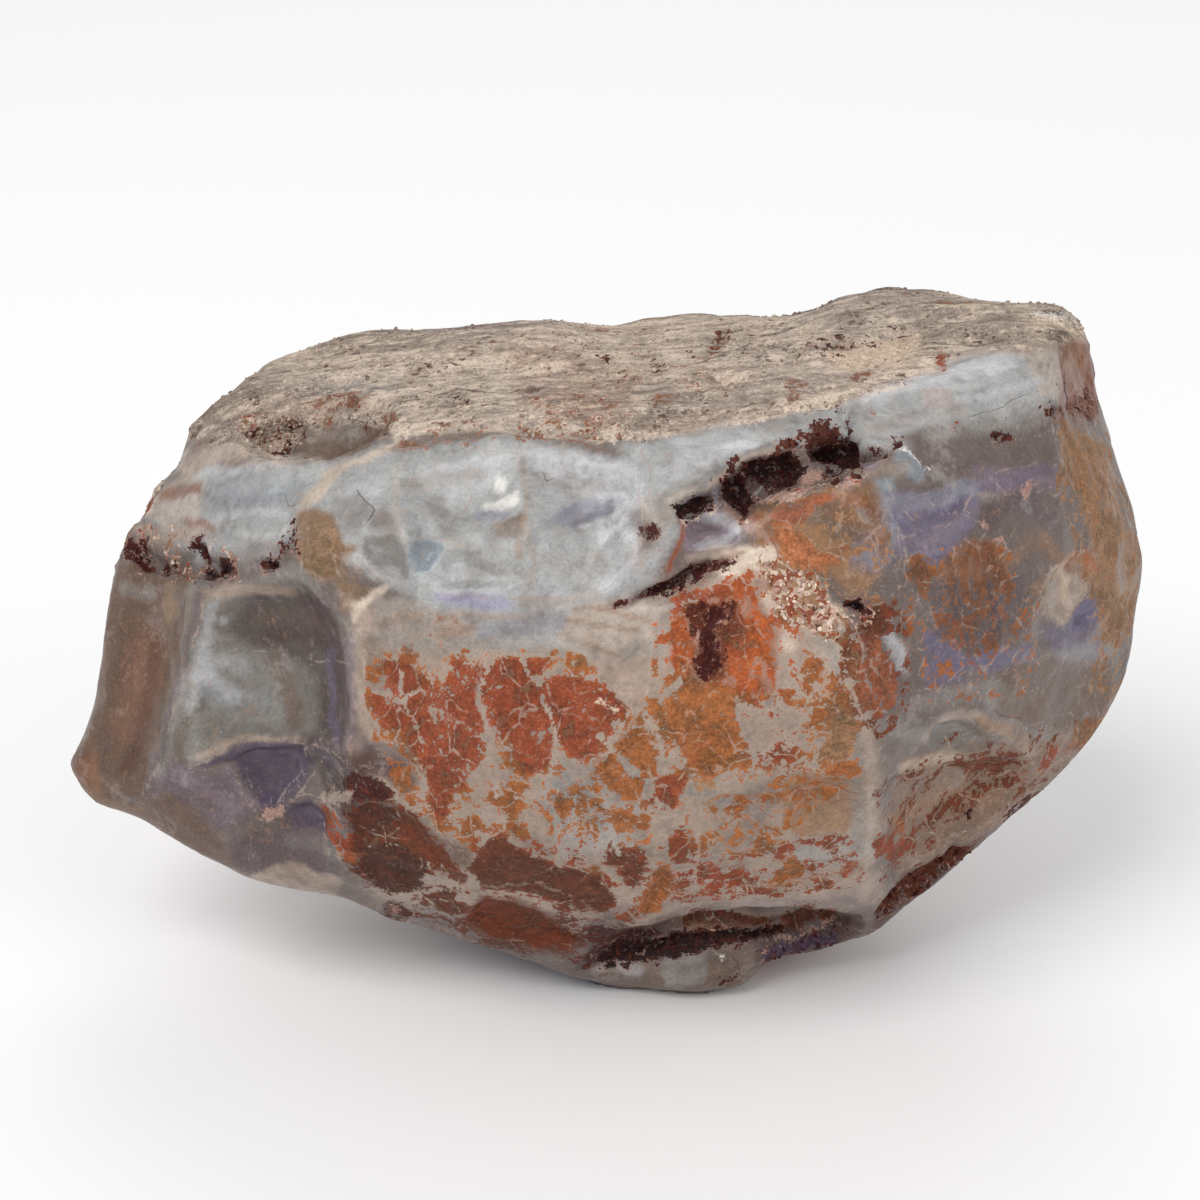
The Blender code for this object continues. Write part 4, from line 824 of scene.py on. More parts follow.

# Hollows lined with dark iron mineral, small pits, and painted shadow in the undercut above the knob and in
# the hollow behind the block's rim: as for the stains.
darks = {
    "vugLeft": ("hematite", 5, "671,505 678,502 694,498 701,496 712,499 713,505 701,513 692,518"
                " 680,521 675,513"),
    "vugRing": ("hematite", 4, "719,483 729,476 740,476 752,487 754,501 749,515 742,518 729,510 722,501"),
    "vugMiddle": ("hematite", 5, "738,467 747,460 765,457 784,453 795,451 802,460 806,468 798,480"
                  " 790,488 770,489 761,485 747,479"),
    "vugBits": ("maroon", 4, "714,478 724,470 731,458 739,458 738,470 726,480"),
    "vugSpeckle": ("chestnut", 3.5, "777,452 782,438 795,430 806,434 800,452"),
    "vugDome": ("chestnut", 5, "809,428 818,422 827,421 836,425 841,434 839,444 820,451 809,451"),
    "vugRight": ("hematite", 5, "807,453 820,447 834,444 843,440 857,442 858,457 862,473 857,475 846,469"
                 " 832,464 816,460"),
    "vugBelow": ("hematite", 3, "827,471 839,467 841,478 834,483 827,478"),
    "vugTrail": ("maroon", 2, "859,455 873,449 889,453 885,457 869,455 862,460"),
    "vugDots": ("maroon", 5, "891,440 897,436 904,438 902,443 894,444"),
    "vugSpikeA": ("hematite", 4, "845,418 850,418 851,441 846,441"),
    "vugSpikeB": ("hematite", 4, "839,405 843,405 844,416 841,416"),
    "lowerVug": ("maroon", 7, "614,605 621,600 634,598 648,591 660,582 676,579 692,570 708,566 724,561"
                 " 738,557 729,566 712,573 699,582 680,593 667,598 655,602 646,598 632,602 618,607"),
    "lowerVugCore": ("hematite", 9, "646,597 662,585 684,579 696,573 688,585 668,595 654,601"),
    "brightStreak": ("maroon", 5, "690,610 702,602 716,606 728,600 738,606 732,618 720,622 714,634"
                     " 720,648 727,660 720,674 704,679 696,664 702,650 696,636 700,622"),
    "brightDots": ("maroon", 4, "722,612 730,604 736,608 728,618"),
    "crumbHole": ("hematite", 6, "841,602 850,601 862,604 869,614 862,616 848,609"),
    "leftVugA": ("maroon", 2.5, "123,548 130,536 142,544 148,556 140,566 128,560"),
    "leftVugB": ("hematite", 6, "140,562 150,560 152,572 144,574"),
    "leftVugC": ("maroon", 6, "152,562 164,562 173,570 168,576 158,574"),
    "leftVugD": ("maroon", 5, "187,539 199,537 206,545 207,558 198,562 190,553"),
    "leftVugE": ("hematite", 9, "196,563 207,566 214,570 218,562 224,556 232,566 237,572 228,579"
                 " 214,579 203,578"),
    "leftVugF": ("hematite", 7, "261,566 270,560 279,561 277,569 268,572"),
    "leftVugG": ("maroon", 4, "279,548 284,541 290,547 294,524 298,530 294,552 284,552"),
    "crustPitA": ("umber", 8, "448,401 459,397 468,402 461,408 451,406"),
    "crustPitB": ("maroon", 2, "595,354 602,353 611,360 602,362"),
    "crustPitC": ("chestnut", 5, "651,366 656,360 666,364 660,369"),
    "crustPitD": ("shadow", 5, "686,352 694,352 696,358 688,359"),
    "crustPitE": ("maroon", 4, "1044,409 1051,405 1058,409 1058,415 1048,416"),
    "pinholeRose": ("maroon", 3, "1082,397 1088,399 1090,404 1084,402"),
    "pinholeRoseB": ("maroon", 3, "1086,409 1092,409 1093,414 1088,414"),
    "crevice": ("olive", -1, "808,345 836,343 865,337 885,326 895,329 911,330 920,329 912,336 890,338"
                " 866,345 836,350 812,350"),
    "crustHollow": ("taupe", -2, "243,437 260,420 282,415 306,420 306,435 289,435 287,454 265,453 245,449"),
    "hollowShade": ("shadow", 5, "266,443 288,440 288,456 268,456"),
    "rimDark": ("chestnut", 4, "876,910 888,893 904,875 922,865 941,854 956,846 971,847 968,854 952,866"
                " 936,879 918,895 899,903 884,916"),
    "rimDotA": ("umber", 4, "1003,817 1014,808 1025,803 1012,816"),
    "rimDotB": ("umber", 4, "1023,801 1040,788 1042,794 1028,804"),
    "rimHole": ("hematite", 5, "965,816 971,811 974,817 969,823"),
    # The next two marks are painted shadow in the undercut above the knob.
    "undercutShadow": ("hematite", 7, "600,956 626,946 669,937 710,932 747,930 781,925 781,932 747,943"
                      " 712,951 687,957 656,963 630,967 602,969"),
    "undercutShadowInk": ("ink", 8, "756,952 781,943 827,930 844,930 838,945 804,953 770,962"),
    "toeStain": ("umber", 4, "718,981 736,975 737,980 722,986"),
    "slotShade": ("hematite", 6, "594,958 608,946 640,938 680,931 716,930 716,936 680,942 650,949"
                  " 624,962 600,966"),
    "brightStreakEdge": ("chestnut", 4, "687,608 700,600 702,616 700,634 694,642 688,628"),
}

# Pale chips and crumbs with a clean edge: as for the stains.
chips = {
    "scarChip": ("milk", 7, "320,792 334,789 352,790 350,800 330,806 318,800"),
    "inkChip": ("rose", 4, "262,816 269,808 282,808 282,813 274,824 264,821"),
    "eyeCentre": ("rose", 3, "390,906 398,906 402,912 394,914"),
    "plateau": ("sand", 9, "832,353 857,345 887,341 923,335 925,349 911,355 891,363 879,371 849,372"
                " 824,367"),
    "plateauLeft": ("sand", 1, "789,335 810,325 835,326 838,338 812,342 794,344"),
    "plateauTop": ("sand", 5, "925,313 954,304 992,299 980,308 942,315"),
    "creamOval": ("cream", 5, "782,403 806,397 814,405 799,411 784,409"),
    "creamLumpA": ("cream", 4, "598,424 628,420 632,438 614,444 600,437"),
    "creamLumpB": ("cream", 0, "520,402 566,404 566,426 522,424"),
    "creamLumpC": ("cream", 4, "707,371 736,370 755,373 752,380 736,388 722,386"),
    "ringKnotDot": ("white", 3, "810,348 817,348 817,354 810,354"),
    "vugWedgeA": ("rose", 8, "795,480 807,471 820,468 825,476 818,485 802,490"),
    "vugWedgeB": ("rose", 8, "837,480 855,474 858,482 842,488"),
    "vugWedgeC": ("lavender", 5, "857,462 870,460 879,464 874,470 860,472"),
    "vugPinkBand": ("blush", 8, "748,494 772,494 795,491 808,484 812,490 796,500 772,503 752,503"),
    "vugBlueGap": ("slate", 4, "711,487 719,486 720,506 712,508"),
    "vugCreamA": ("cream", 2.6, "726,500 733,500 733,507 727,507"),
    "vugCreamB": ("cream", 2.6, "735,482 741,482 741,488 736,488"),
    "creamRagged": ("cream", 4, "676,520 702,515 716,508 712,512 690,522 680,526"),
    "pinkFlake": ("rose", 5, "1017,487 1032,480 1038,486 1032,493 1026,501 1019,493"),
    "blueFlakeEdge": ("white", 3, "900,448 904,443 917,459 931,467 929,471 913,462"),
    "flecksA": ("rose", 3, "981,521 987,520 990,528 984,530"),
    "flecksB": ("rose", 3, "993,538 999,537 1001,545 995,546"),
    "gash": ("sand", 1, "597,700 608,703 619,711 616,714 604,710 596,705"),
    "lipPink": ("rose", 3, "758,940 774,938 793,933 815,927 838,915 840,919 818,931 794,937 774,942"),
    "knobScratch": ("white", 0, "704,944 707,944 727,962 723,963"),
}

# Broken, crumbly ground: as for the stains.
crumbly = {
    "patch": ("cream", 6, "768,562 784,560 797,570 816,576 830,594 836,607 843,620 834,634 815,634 795,627"
              " 778,612 768,592"),
    "holeRim": ("cream", -1, "836,602 846,596 866,600 876,612 874,624 862,628 846,622"),
    "vugLip": ("cream", -2.5, "672,522 712,508 745,522 800,494 860,478 850,470 800,492 744,512 712,500"),
    "leftVug": ("cream", -1.5, "124,545 150,528 190,530 240,556 236,578 190,582 140,576"),
    "crustA": ("cream", -1, "518,400 566,402 576,420 560,430 520,424"),
    "crustB": ("cream", -2, "560,392 625,392 640,412 620,440 596,440 570,420"),
    "crustC": ("cream", -2.5, "600,360 700,350 760,372 740,392 640,384"),
    "crustD": ("cream", -1, "240,420 300,412 300,440 262,452 242,444"),
    "vugTop": ("cream", -1.5, "712,474 740,456 770,446 800,432 806,446 770,456 742,466 722,482"),
}

# Healed cracks and thin pale edges: half a line's width in pixels, then its route.
paleLines = {
    "blockRim": (2.25, "212,458 228,447 241,453 257,455 276,456 295,460 318,464 340,460 369,448 384,436"
                 " 413,425 447,419 466,412"),
    "blockFoot": (1.65, "243,542 270,545 295,536 300,520"),
    "leftCurve": (1.5, "122,588 134,594 150,592"),
    "scarLine": (1.2, "230,651 280,655 343,662"),
    "scarRidge": (2.25, "343,622 352,650 353,700 349,742 356,768"),
    "leftRidge": (2.55, "206,580 203,604 192,653 180,684 170,724 152,775 142,792"),
    "inkEdge": (1.65, "188,771 213,757 226,746 254,739 290,741 313,744 328,748 350,765"),
    "inkStriaA": (1.2, "236,783 249,800 264,814"),
    "inkStriaB": (0.98, "246,776 256,796 268,808"),
    "inkStriaC": (0.9, "226,772 240,794 256,812"),
    "inkCrack": (1.5, "328,748 316,766 302,790 288,806 270,822"),
    "inkCrackB": (1.2, "292,800 304,796 322,800 346,800"),
    "ridgeAbove": (2.25, "339,556 352,556 371,579 384,578"),
    "bumpRightEdge": (1.65, "519,462 524,492 528,515 525,538 536,565 534,583"),
    "bumpArcA": (1.5, "398,440 386,470 396,500 410,530 446,540 485,552 520,548"),
    "bumpArcB": (1.35, "405,472 440,458 480,448 517,455"),
    "bumpArcC": (1.65, "421,583 439,593 470,596 500,598 545,598 589,598 612,586 636,560 644,530 640,480"),
    "bumpCrackA": (1.05, "430,500 460,512 480,530"),
    "bumpCrackB": (1.12, "455,470 470,490 466,515"),
    "bumpCrackC": (1.05, "560,470 585,490 600,486"),
    "bumpSwirl": (1.2, "596,545 589,548 586,556 592,560 598,554"),
    "bandSeam": (1.5, "636,446 652,470 648,520 636,560"),
    "bandCrackA": (1.05, "770,430 790,420 800,424 812,412"),
    "bandCrackB": (1.12, "838,392 852,408 862,424 880,438"),
    "rightEdgeA": (1.35, "935,463 959,465 979,472 998,488 1005,495 1021,496 1030,502 1044,490 1053,488"),
    "rightEdgeB": (1.2, "912,497 929,491 952,484 979,478 1013,466 1053,459"),
    "rightEdgeC": (1.12, "933,499 942,510 963,514 979,522 988,527"),
    "rightEdgeD": (1.2, "893,500 898,530 902,560 912,590"),
    "shellEdge": (2.25, "1040,612 1044,597 1045,582 1054,564 1071,553 1086,550"),
    "paleCurve": (1.35, "926,718 942,713 962,713 971,720 983,728 999,738 1016,746 1036,755"),
    "blueRidge": (3.75, "866,735 871,768 870,800 860,828 846,856"),
    "veinA": (3, "470,640 480,662 476,690 480,715 496,742 500,780 470,800"),
    "veinB": (3, "640,680 636,712 628,734 604,752 590,770"),
    "veinC": (2.55, "655,735 664,760 660,778 640,800 600,812"),
    "veinD": (2.25, "412,668 420,690 446,715 470,728"),
    "veinE": (2.25, "600,812 580,830 590,852 620,846"),
    "veinF": (2.25, "690,780 700,800 690,820 700,850 692,880"),
    "veinG": (2.25, "790,800 780,830 800,850 830,850 850,840"),
    "veinI": (1.95, "598,868 612,896 640,922"),
    "veinJ": (2.55, "425,885 450,884 500,888 540,882 580,900 612,926"),
    "veinK": (1.95, "850,680 856,700 864,720"),
    "lowRidge": (1.8, "730,888 790,882 838,876 862,868"),
    "lipEdge": (1.5, "612,925 652,925 700,902 750,905 800,898 850,890"),
    "footEdge": (1.5, "338,850 344,870 352,890"),
    "rimEdge": (1.8, "870,905 885,885 920,858 960,838 1000,812"),
    "bumpRimLine": (1.35, "530,420 560,436 600,450 640,442"),
    "shellEdgePale": (2.2, "1086,552 1062,560 1048,580 1040,612"),
    "violetVeinA": (1.4, "900,540 930,530 960,520 975,500"),
    "violetVeinB": (1.4, "884,478 896,500 904,540 908,570"),
    "inkSlopeB": (1.5, "238,784 250,796 260,808"),
    "inkRay": (1.6, "310,742 300,772 284,794 268,812"),
    "violetStreakB": (1.5, "886,500 912,512 926,540"),
    "ridgeWhite": (2, "340,557 356,568 375,583"),
    "bumpLineA": (1.5, "560,470 574,488 584,500"),
    "bumpLineB": (1.5, "446,538 480,548 520,550"),
    "bumpCurl": (1.5, "590,546 584,556 592,562 604,558"),
    "orangeFaceRim": (1.4, "768,524 779,521 795,525 811,538 821,549 843,558"),
}

# Dark hairlines and seams: as for the pale ones.
darkLines = {
    "bumpDent": (1.12, "360,491 368,500 376,510 370,522"),
    "crustSeamA": (1.05, "262,415 272,412"),
    "crustSeamB": (1.05, "400,404 440,392 500,392 544,388"),
    "crustSeamC": (0.98, "700,362 740,350 790,352"),
    "hairline": (0.75, "975,415 994,410 1005,406 1026,397"),
    "pinkishTick": (0.9, "1000,712 1010,718 1020,718"),
    "knobCrack": (1.05, "736,960 738,971"),
    "lipShadow": (1.5, "600,930 640,938 669,932 710,932 760,928 800,932 838,922"),
    "eyeRing": (1.95, "384,905 392,900 404,905 408,914 398,919 388,914 384,906"),
    "smallDash": (1.5, "596,812 604,815"),
    "bandHair": (0.75, "286,500 288,508 296,506"),
    "bandHairB": (0.75, "544,476 548,484 554,480"),
}

# Rust lines and arcs: as for the pale ones.
rustLines = {
    "vugLine": (1.95, "678,519 680,529 679,542 673,556 667,570"),
    "shellArcA": (1.2, "808,778 819,788 835,794 858,793"),
    "shellArcB": (1.2, "812,770 826,780 840,784 858,782"),
    "shellArcC": (0.98, "800,792 815,802 835,806 860,804"),
    "rightStreakA": (1.5, "954,618 962,640 971,662"),
    "rightStreakB": (1.5, "962,636 972,656 981,673"),
    "bottomCurveA": (1.2, "462,915 480,905 500,890"),
    "bottomCurveB": (1.2, "470,922 492,908 512,898"),
    "rimRedA": (1.12, "568,440 585,446 602,452"),
    "redDashes": (1.12, "300,404 330,398 365,392"),
    "rightArcA": (1.05, "999,711 1010,717 1020,718"),
    "fanArcA": (1.12, "735,800 750,796 765,802"),
    "fanArcB": (1.12, "730,812 750,806 770,814"),
    "fanArcC": (1.12, "728,824 750,817 772,826"),
    "vugLip": (1.5, "755,516 768,530 776,548 772,564"),
}

# Marks made up for the unseen side: stain in patches, a broken dark seam and crust on top.
unseenMarks = {
    "stainSize": 6 * mm,
    "stainStart": 0.25,  # more is stained when this is lower
    "stainFill": 7,
    "stainRim": 1.2 * mm,
    "seamHeight": 24 * mm,
    "seamSlope": 0.12,
    "seamStray": 2.2,  # in mm
    "seamHalf": 0.22 * mm,
    "seamFill": 8,
    "crustFacing": 0.38,  # crust lies on what faces up more than this
    "crustLowest": 18 * mm,
}


def stackMarks(marks):
    field = np.full(len(points), -float(fieldReach))
    hue = np.tile(colourOf(next(iter(marks.values()))[0]), (len(points), 1))
    for pigment, fill, outline in marks.values():
        near, _, signed = nearRoute(spots, outline, fieldReach)
        value = np.minimum(signed, fill)
        better = (value > field[near]) | (signed > 0)
        field[near[better]] = value[better]
        hue[near[better]] = colourOf(pigment)
    return field, hue


def stackLines(lines):  # across the nearest line in half widths, how far away it is, how well it is seen
    across = np.full(len(points), float(lineReach))
    away = np.full(len(points), float(lineReach))
    for half, route in lines.values():
        near, distance, signed = nearRoute(spots, route, lineReach, closed=False)
        closer = distance < away[near]
        across[near[closer]] = signed[closer] / half
        away[near[closer]] = distance[closer]
    across = np.where(shown > 0.3, across, lineReach)
    return np.stack([across, away, shown], 1)


def fade(field, unseen):  # the photographed marks on the seen side, and the made-up ones elsewhere
    return unseen + (field - unseen) * shown


stainField, stainHue = stackMarks(stains)
darkField, darkHue = stackMarks(darks)
chipField, chipHue = stackMarks(chips)
for half, route in gaps.values():
    near, away, _ = nearRoute(spots, route, gapReach, closed=False)
    stainField[near] = np.minimum(stainField[near], (away - half * 0.6) * 2.4 - 2)
spread = cloud(points, unseenMarks["stainSize"], 41, 3)
unseenStain = np.clip((spread - unseenMarks["stainStart"]) * 26, -fieldReach, unseenMarks["stainFill"])
unseenStain = unseenStain - 3 * ease(1 - rim / unseenMarks["stainRim"])
unseenHue = towards(colourOf("rust"), "ochre", ease(cloud(points, 4 * mm, 44, 2) + 0.5))
stainField = fade(stainField, unseenStain)
stainHue = smoothed(mesh, towards(unseenHue, stainHue, ease(shown * 4 - 1)), 4)
darkHue = smoothed(mesh, darkHue, 1)
chipHue = smoothed(mesh, chipHue, 1)

seamPath = points[:, 2] - unseenMarks["seamHeight"] - points[:, 0] * unseenMarks["seamSlope"]
seamPath = seamPath + cloud(points, 8 * mm, 51, 2) * unseenMarks["seamStray"] * mm
seam = 7 - np.abs(seamPath) / unseenMarks["seamHalf"] + cloud(points, 3 * mm, 52, 2) * 16 - 9
darkField = fade(darkField, np.clip(seam, -fieldReach, unseenMarks["seamFill"]))
chipField = fade(chipField, np.full(len(points), -float(fieldReach)))

near, _, signed = nearRoute(spots, tints["crustBed"][3], crustReach + 10)
crustFront = np.full(len(points), -float(crustReach))
crustFront[near] = np.clip(signed, -crustReach, crustReach)
crustUnseen = (normals[:, 2] - unseenMarks["crustFacing"]) * 60 + cloud(points, 4 * mm, 61, 3) * 9
crustUnseen = np.clip(crustUnseen, -crustReach, crustReach)
crustUnseen = np.where(points[:, 2] > unseenMarks["crustLowest"], crustUnseen, -crustReach)
crust = fade(crustFront, crustUnseen)
crustShare = ease(crust / 8 + 0.5)
unseenBed = towards(colourOf("beige"), "taupe", ease(cloudy + 0.4))
ground = towards(ground, unseenBed, crustShare * (1 - shown))
print("marks:", len(stains), "stains,", len(darks), "dark hollows,", len(chips), "chips")


# Relief

# Shape finer than the frame's: sink in mm (less than 0 stands proud), reach inwards in pixels, outline.
reliefs = {
    "vugLeft": (0.3, 8, "670,508 694,496 714,494 714,506 692,519 675,522"),
    "vugMain": (0.9, 12, "719,484 745,462 795,450 807,468 796,487 770,495 752,508 742,520 722,503"),
    "vugRight": (1, 10, "806,450 842,438 860,440 863,473 845,470 816,462"),
    "vugTrail": (0.4, 4, "859,455 889,449 902,440 902,445 885,459 862,461"),
    "lowerVug": (0.6, 8, "614,600 648,586 692,565 738,552 712,568 680,588 655,597 632,598"),
    "crumbHole": (0.9, 7, "841,602 850,601 862,604 870,614 862,617 848,610"),
    "leftVug": (0.5, 7, "122,548 142,544 172,564 190,540 206,546 218,560 232,574 215,579 170,577 140,573"),
    "leftDiamond": (0.5, 5, "261,566 270,560 279,561 277,569 268,572"),
    "crumbs": (0.15, 6, "765,560 797,570 830,600 846,622 830,640 795,630 770,598"),
    "lilacChip": (0.25, 10, "680,529 692,517 729,515 742,538 710,549 696,556"),
    "creamLumpProud": (-0.3, 12, "710,565 756,546 778,548 770,580 738,574"),
    "smoothOrange": (0.2, 10, "768,524 795,526 820,549 845,559 820,571 779,558"),
    "inkBasin": (0.45, 16, "193,770 223,752 254,742 313,742 310,765 295,790 280,808 262,806 244,785"),
    "inkPool": (0.35, 8, "277,826 290,806 308,801 326,815 328,831"),
    "scarChip": (-0.25, 5, "320,792 334,789 352,790 350,800 330,806"),
    "honeyKnob": (-0.35, 14, "295,514 333,516 343,544 339,573 325,585 299,567"),
    "ridgeBump": (-0.3, 8, "339,552 356,552 384,578 380,592 346,604 350,590"),
    "bumpFacetLeft": (0.2, 10, "329,493 343,483 360,491 375,508 367,523 358,539 343,535 333,512"),
    "bumpTeal": (0.3, 10, "408,542 446,540 440,558 431,571 417,577"),
    "bumpGreen": (0.15, 8, "367,539 390,535 404,544 408,565 410,579 383,573"),
    "bumpSlate": (0.2, 12, "550,522 563,508 591,499 625,501 607,515 573,526"),
    "bumpFacetMiddle": (0.2, 12, "440,545 485,556 520,550 530,580 500,592 440,588"),
    # a slight rise under the bump's painted highlight
    "bumpHighlight": (-0.15, 4, "485,500 517,489 514,500 494,509"),
    "rimBand": (0.25, 7, "385,450 440,428 515,420 563,432 600,446 560,446 510,438 440,444"),
    "brownFacet": (0.3, 14, "340,822 354,801 386,799 418,815 452,859 478,879 420,878 418,891 354,875"),
    "violetFacet": (0.25, 8, "360,740 407,748 414,768 386,778 362,774"),
    "bottomFacet": (0.5, 14, "457,925 478,895 537,907 586,939 583,951 524,951"),
    "redField": (0.12, 5, "489,668 547,680 606,679 632,710 599,749 556,739 547,772 510,744 482,707"),
    "smallShell": (0.25, 9, "540,811 567,799 570,822 558,850 547,833"),
    "bellyDish": (0.35, 22, "560,760 640,780 640,840 600,858 556,836"),
    "leaf": (0.3, 10, "645,891 664,856 671,873 671,895 661,916 645,918"),
    "leafSide": (0.3, 12, "585,866 640,850 640,880 618,898 590,886"),
    "ochreBelly": (0.2, 10, "661,681 734,684 744,732 718,780 686,757 663,716"),
    "tanShell": (0.45, 26, "785,789 803,772 866,770 866,814 849,836 824,843 790,836"),
    "fanDish": (0.3, 16, "720,790 775,785 778,840 730,850 712,820"),
    "columnDish": (0.2, 12, "831,690 849,690 862,748 847,771 820,770"),
    "lowDish": (0.25, 10, "767,881 799,856 870,858 868,876 790,888"),
    "violetFace": (0.25, 18, "884,488 979,478 984,520 952,554 910,558 896,530"),
    "blueChip": (-0.2, 6, "891,459 904,445 927,468 915,480 898,472"),
    "pinkFlake": (-0.2, 4, "1017,487 1032,480 1038,486 1026,501"),
    "shellChip": (0.5, 12, "1046,581 1054,564 1085,552 1094,585 1073,616 1060,626 1040,613"),
    "violetWedge": (0.3, 8, "1073,616 1097,605 1101,622 1070,632"),
    "slateShell": (0.45, 14, "926,719 962,714 990,735 985,752 930,757"),
    "shellBelow": (0.3, 16, "940,760 1036,757 1000,800 940,820 915,800"),
    "rustSpotB": (0.35, 4, "986,437 1002,424 1012,438"),
    "rimDark": (0.5, 7, "872,918 888,891 922,863 954,845 972,846 936,880 900,908"),
    "undercutLine": (0.8, 7, "615,953 669,934 747,930 785,925 781,934 710,944 650,950"),
    "crustHollow": (0.9, 10, "243,437 260,418 306,418 306,437 287,456 262,454"),
    "glassHollow": (0.4, 12, "296,438 306,424 335,423 386,426 374,443 330,460 300,458"),
    "crustPit": (0.8, 6, "447,401 459,396 470,402 461,409"),
    "plateau": (0.2, 4, "832,353 887,341 925,335 925,350 879,372 824,368"),
    "ringKnot": (-0.3, 8, "792,348 816,343 835,352 820,364 798,361"),
    "crevice": (0.35, 5, "806,346 865,337 885,327 921,329 912,336 866,345 836,352"),
    "redNotch": (0.6, 6, "709,355 714,334 733,329 728,344"),
    "creamOval": (-0.2, 5, "780,403 806,396 816,405 799,413"),
    "creamLump": (-0.35, 8, "598,425 628,420 632,438 612,445"),
    "cornerChip": (0.35, 8, "1040,312 1071,310 1082,329 1057,323"),
    "roseColumn": (0.3, 8, "1059,350 1078,338 1096,377 1098,412 1066,410"),
    "knobFace": (0.2, 12, "620,966 680,950 735,946 740,968 690,982 640,978"),
}

# Roughness of the skin: the length of its features, and their depth in mm.
roughness = {
    "ledges": (1.5 * mm, 0.2),
    "sand": (0.55 * mm, 0.07),
    "waves": (3.2 * mm, 0.1),
    "hollows": (0.5 * mm, 0.25),
    "hollowFloors": (0.5 * mm, 0.16),
}


def rough(kind, seed, octaves, stretch=1):
    length, depth = roughness[kind]
    return cloud(points * (stretch, 1, 1), length, seed, octaves) * depth * mm


sink = sink * (1 - shown) * (1 - crustShare)
for depth, reach, outline in reliefs.values():
    near, _, signed = nearRoute(spots, outline, 1)
    sink[near] += depth * mm * ease(signed / reach) * shown[near]
sink += (rough("ledges", 71, 3, 0.3) + rough("sand", 72, 2, 0.6)) * crustShare
sink += rough("waves", 73, 3) * (1 - crustShare)
length, depth = roughness["hollows"]
hollows = np.clip(darkField + 2, 0, 6) / 6 * depth * mm * (1 + cloud(points, length, 74, 2))
sink += hollows * (1 - shown * 0.6)
sink += rough("hollowFloors", 75, 1) * ease(darkField / 4)
sink *= ease(points[:, 2] / (0.8 * mm))
points -= normals * sink[:, None]
mesh.vertices.foreach_set("co", points.ravel())
mesh.update()
mesh.shade_smooth()
print("relief:", len(reliefs), "shapes")


# What the materials and the grains read at each vertex


def keep(name, values):
    kind = {1: "FLOAT", 3: "FLOAT_VECTOR", 4: "FLOAT_COLOR"}[values.shape[1] if values.ndim > 1 else 1]
    field = {"FLOAT": "value", "FLOAT_VECTOR": "vector", "FLOAT_COLOR": "color"}[kind]
    layer = mesh.attributes.new(name, kind, "POINT")
    layer.data.foreach_set(field, values.astype(np.float32).ravel())


def keepColour(name, hue):
    keep(name, np.concatenate([np.clip(hue, 0, 1), np.ones((len(hue), 1))], 1))


keepColour("ground", ground)
keepColour("stainHue", stainHue)
keepColour("darkHue", darkHue)
keepColour("chipHue", chipHue)
keep("markFields", np.stack([stainField, darkField, chipField], 1))
keep("paleLine", stackLines(paleLines))
keep("darkLine", stackLines(darkLines))
keep("rustLine", stackLines(rustLines))
keep("crust", crust)
grainSort = cloud(points, 0.45 * mm, 81, 1)
sandy = crustShare * ease(cloud(points, 2.2 * mm, 82, 2) * 1.4 + 0.35) * 0.55
# hollow also covers the painted shadow in the undercut above the knob
hollow = ease((darkField + 1) / 3)
crumbField = stackMarks(crumbly)[0]
broken = ease((crumbField + 2) / 3) * shown
grainHue = ground * np.where(grainSort > 0.25, 0.62, 1.08)[:, None]
grainHue = towards(grainHue, "rust", ease(grainSort * 3 - 1.4) * 0.6 * crustShare)
crumbHue = np.where(grainSort[:, None] > 0.1, colourOf("rose"), colourOf("cream"))
grainHue = towards(grainHue, crumbHue, broken)
hollowHue = np.where(grainSort[:, None] > 0.3, colourOf("chestnut"), colourOf("maroon"))
keepColour("grainHue", towards(grainHue, hollowHue, hollow))
keep("grainShare", np.clip(sandy + hollow * 0.8 + broken, 0, 1) * ease(points[:, 2] / mm))
keep("crumbly", crumbField - 20 * (shown < 0.3))


# Materials


class Wire:  # a socket that takes part in sums
    def __init__(self, finish, socket):
        self.finish = finish
        self.socket = socket

    def worked(self, other, work, swapped=False):
        values = {0: other, 1: self} if swapped else {0: self, 1: other}
        return self.finish.node("ShaderNodeMath", {"operation": work}, values)

    def __add__(self, other):
        return self.worked(other, "ADD")

    def __radd__(self, other):
        return self.worked(other, "ADD")

    def __sub__(self, other):
        return self.worked(other, "SUBTRACT")

    def __rsub__(self, other):
        return self.worked(other, "SUBTRACT", swapped=True)

    def __mul__(self, other):
        return self.worked(other, "MULTIPLY")

    def __rmul__(self, other):
        return self.worked(other, "MULTIPLY")

    def __abs__(self):
        return self.finish.node("ShaderNodeMath", {"operation": "ABSOLUTE"}, {0: self})

    def least(self, other):
        return self.worked(other, "MINIMUM")

    def most(self, other):
        return self.worked(other, "MAXIMUM")

    def step(self, start, end):  # eases from 0 to 1 between the two values
        values = {"Value": self, "From Min": start, "From Max": end}
        return self.finish.node("ShaderNodeMapRange", {"interpolation_type": "SMOOTHSTEP"}, values)


class Nodes:
    def __init__(self, tree):
        self.tree = tree

    def node(self, kind, settings=None, values=None, output=0):
        made = self.tree.nodes.new(kind)
        for name, value in (settings or {}).items():
            setattr(made, name, value)
        for name, value in (values or {}).items():
            self.feed(made.inputs[name], value)
        return Wire(self, made.outputs[output])

    def feed(self, socket, value):
        if isinstance(value, Wire):
            self.tree.links.new(value.socket, socket)
        else:
            socket.default_value = value


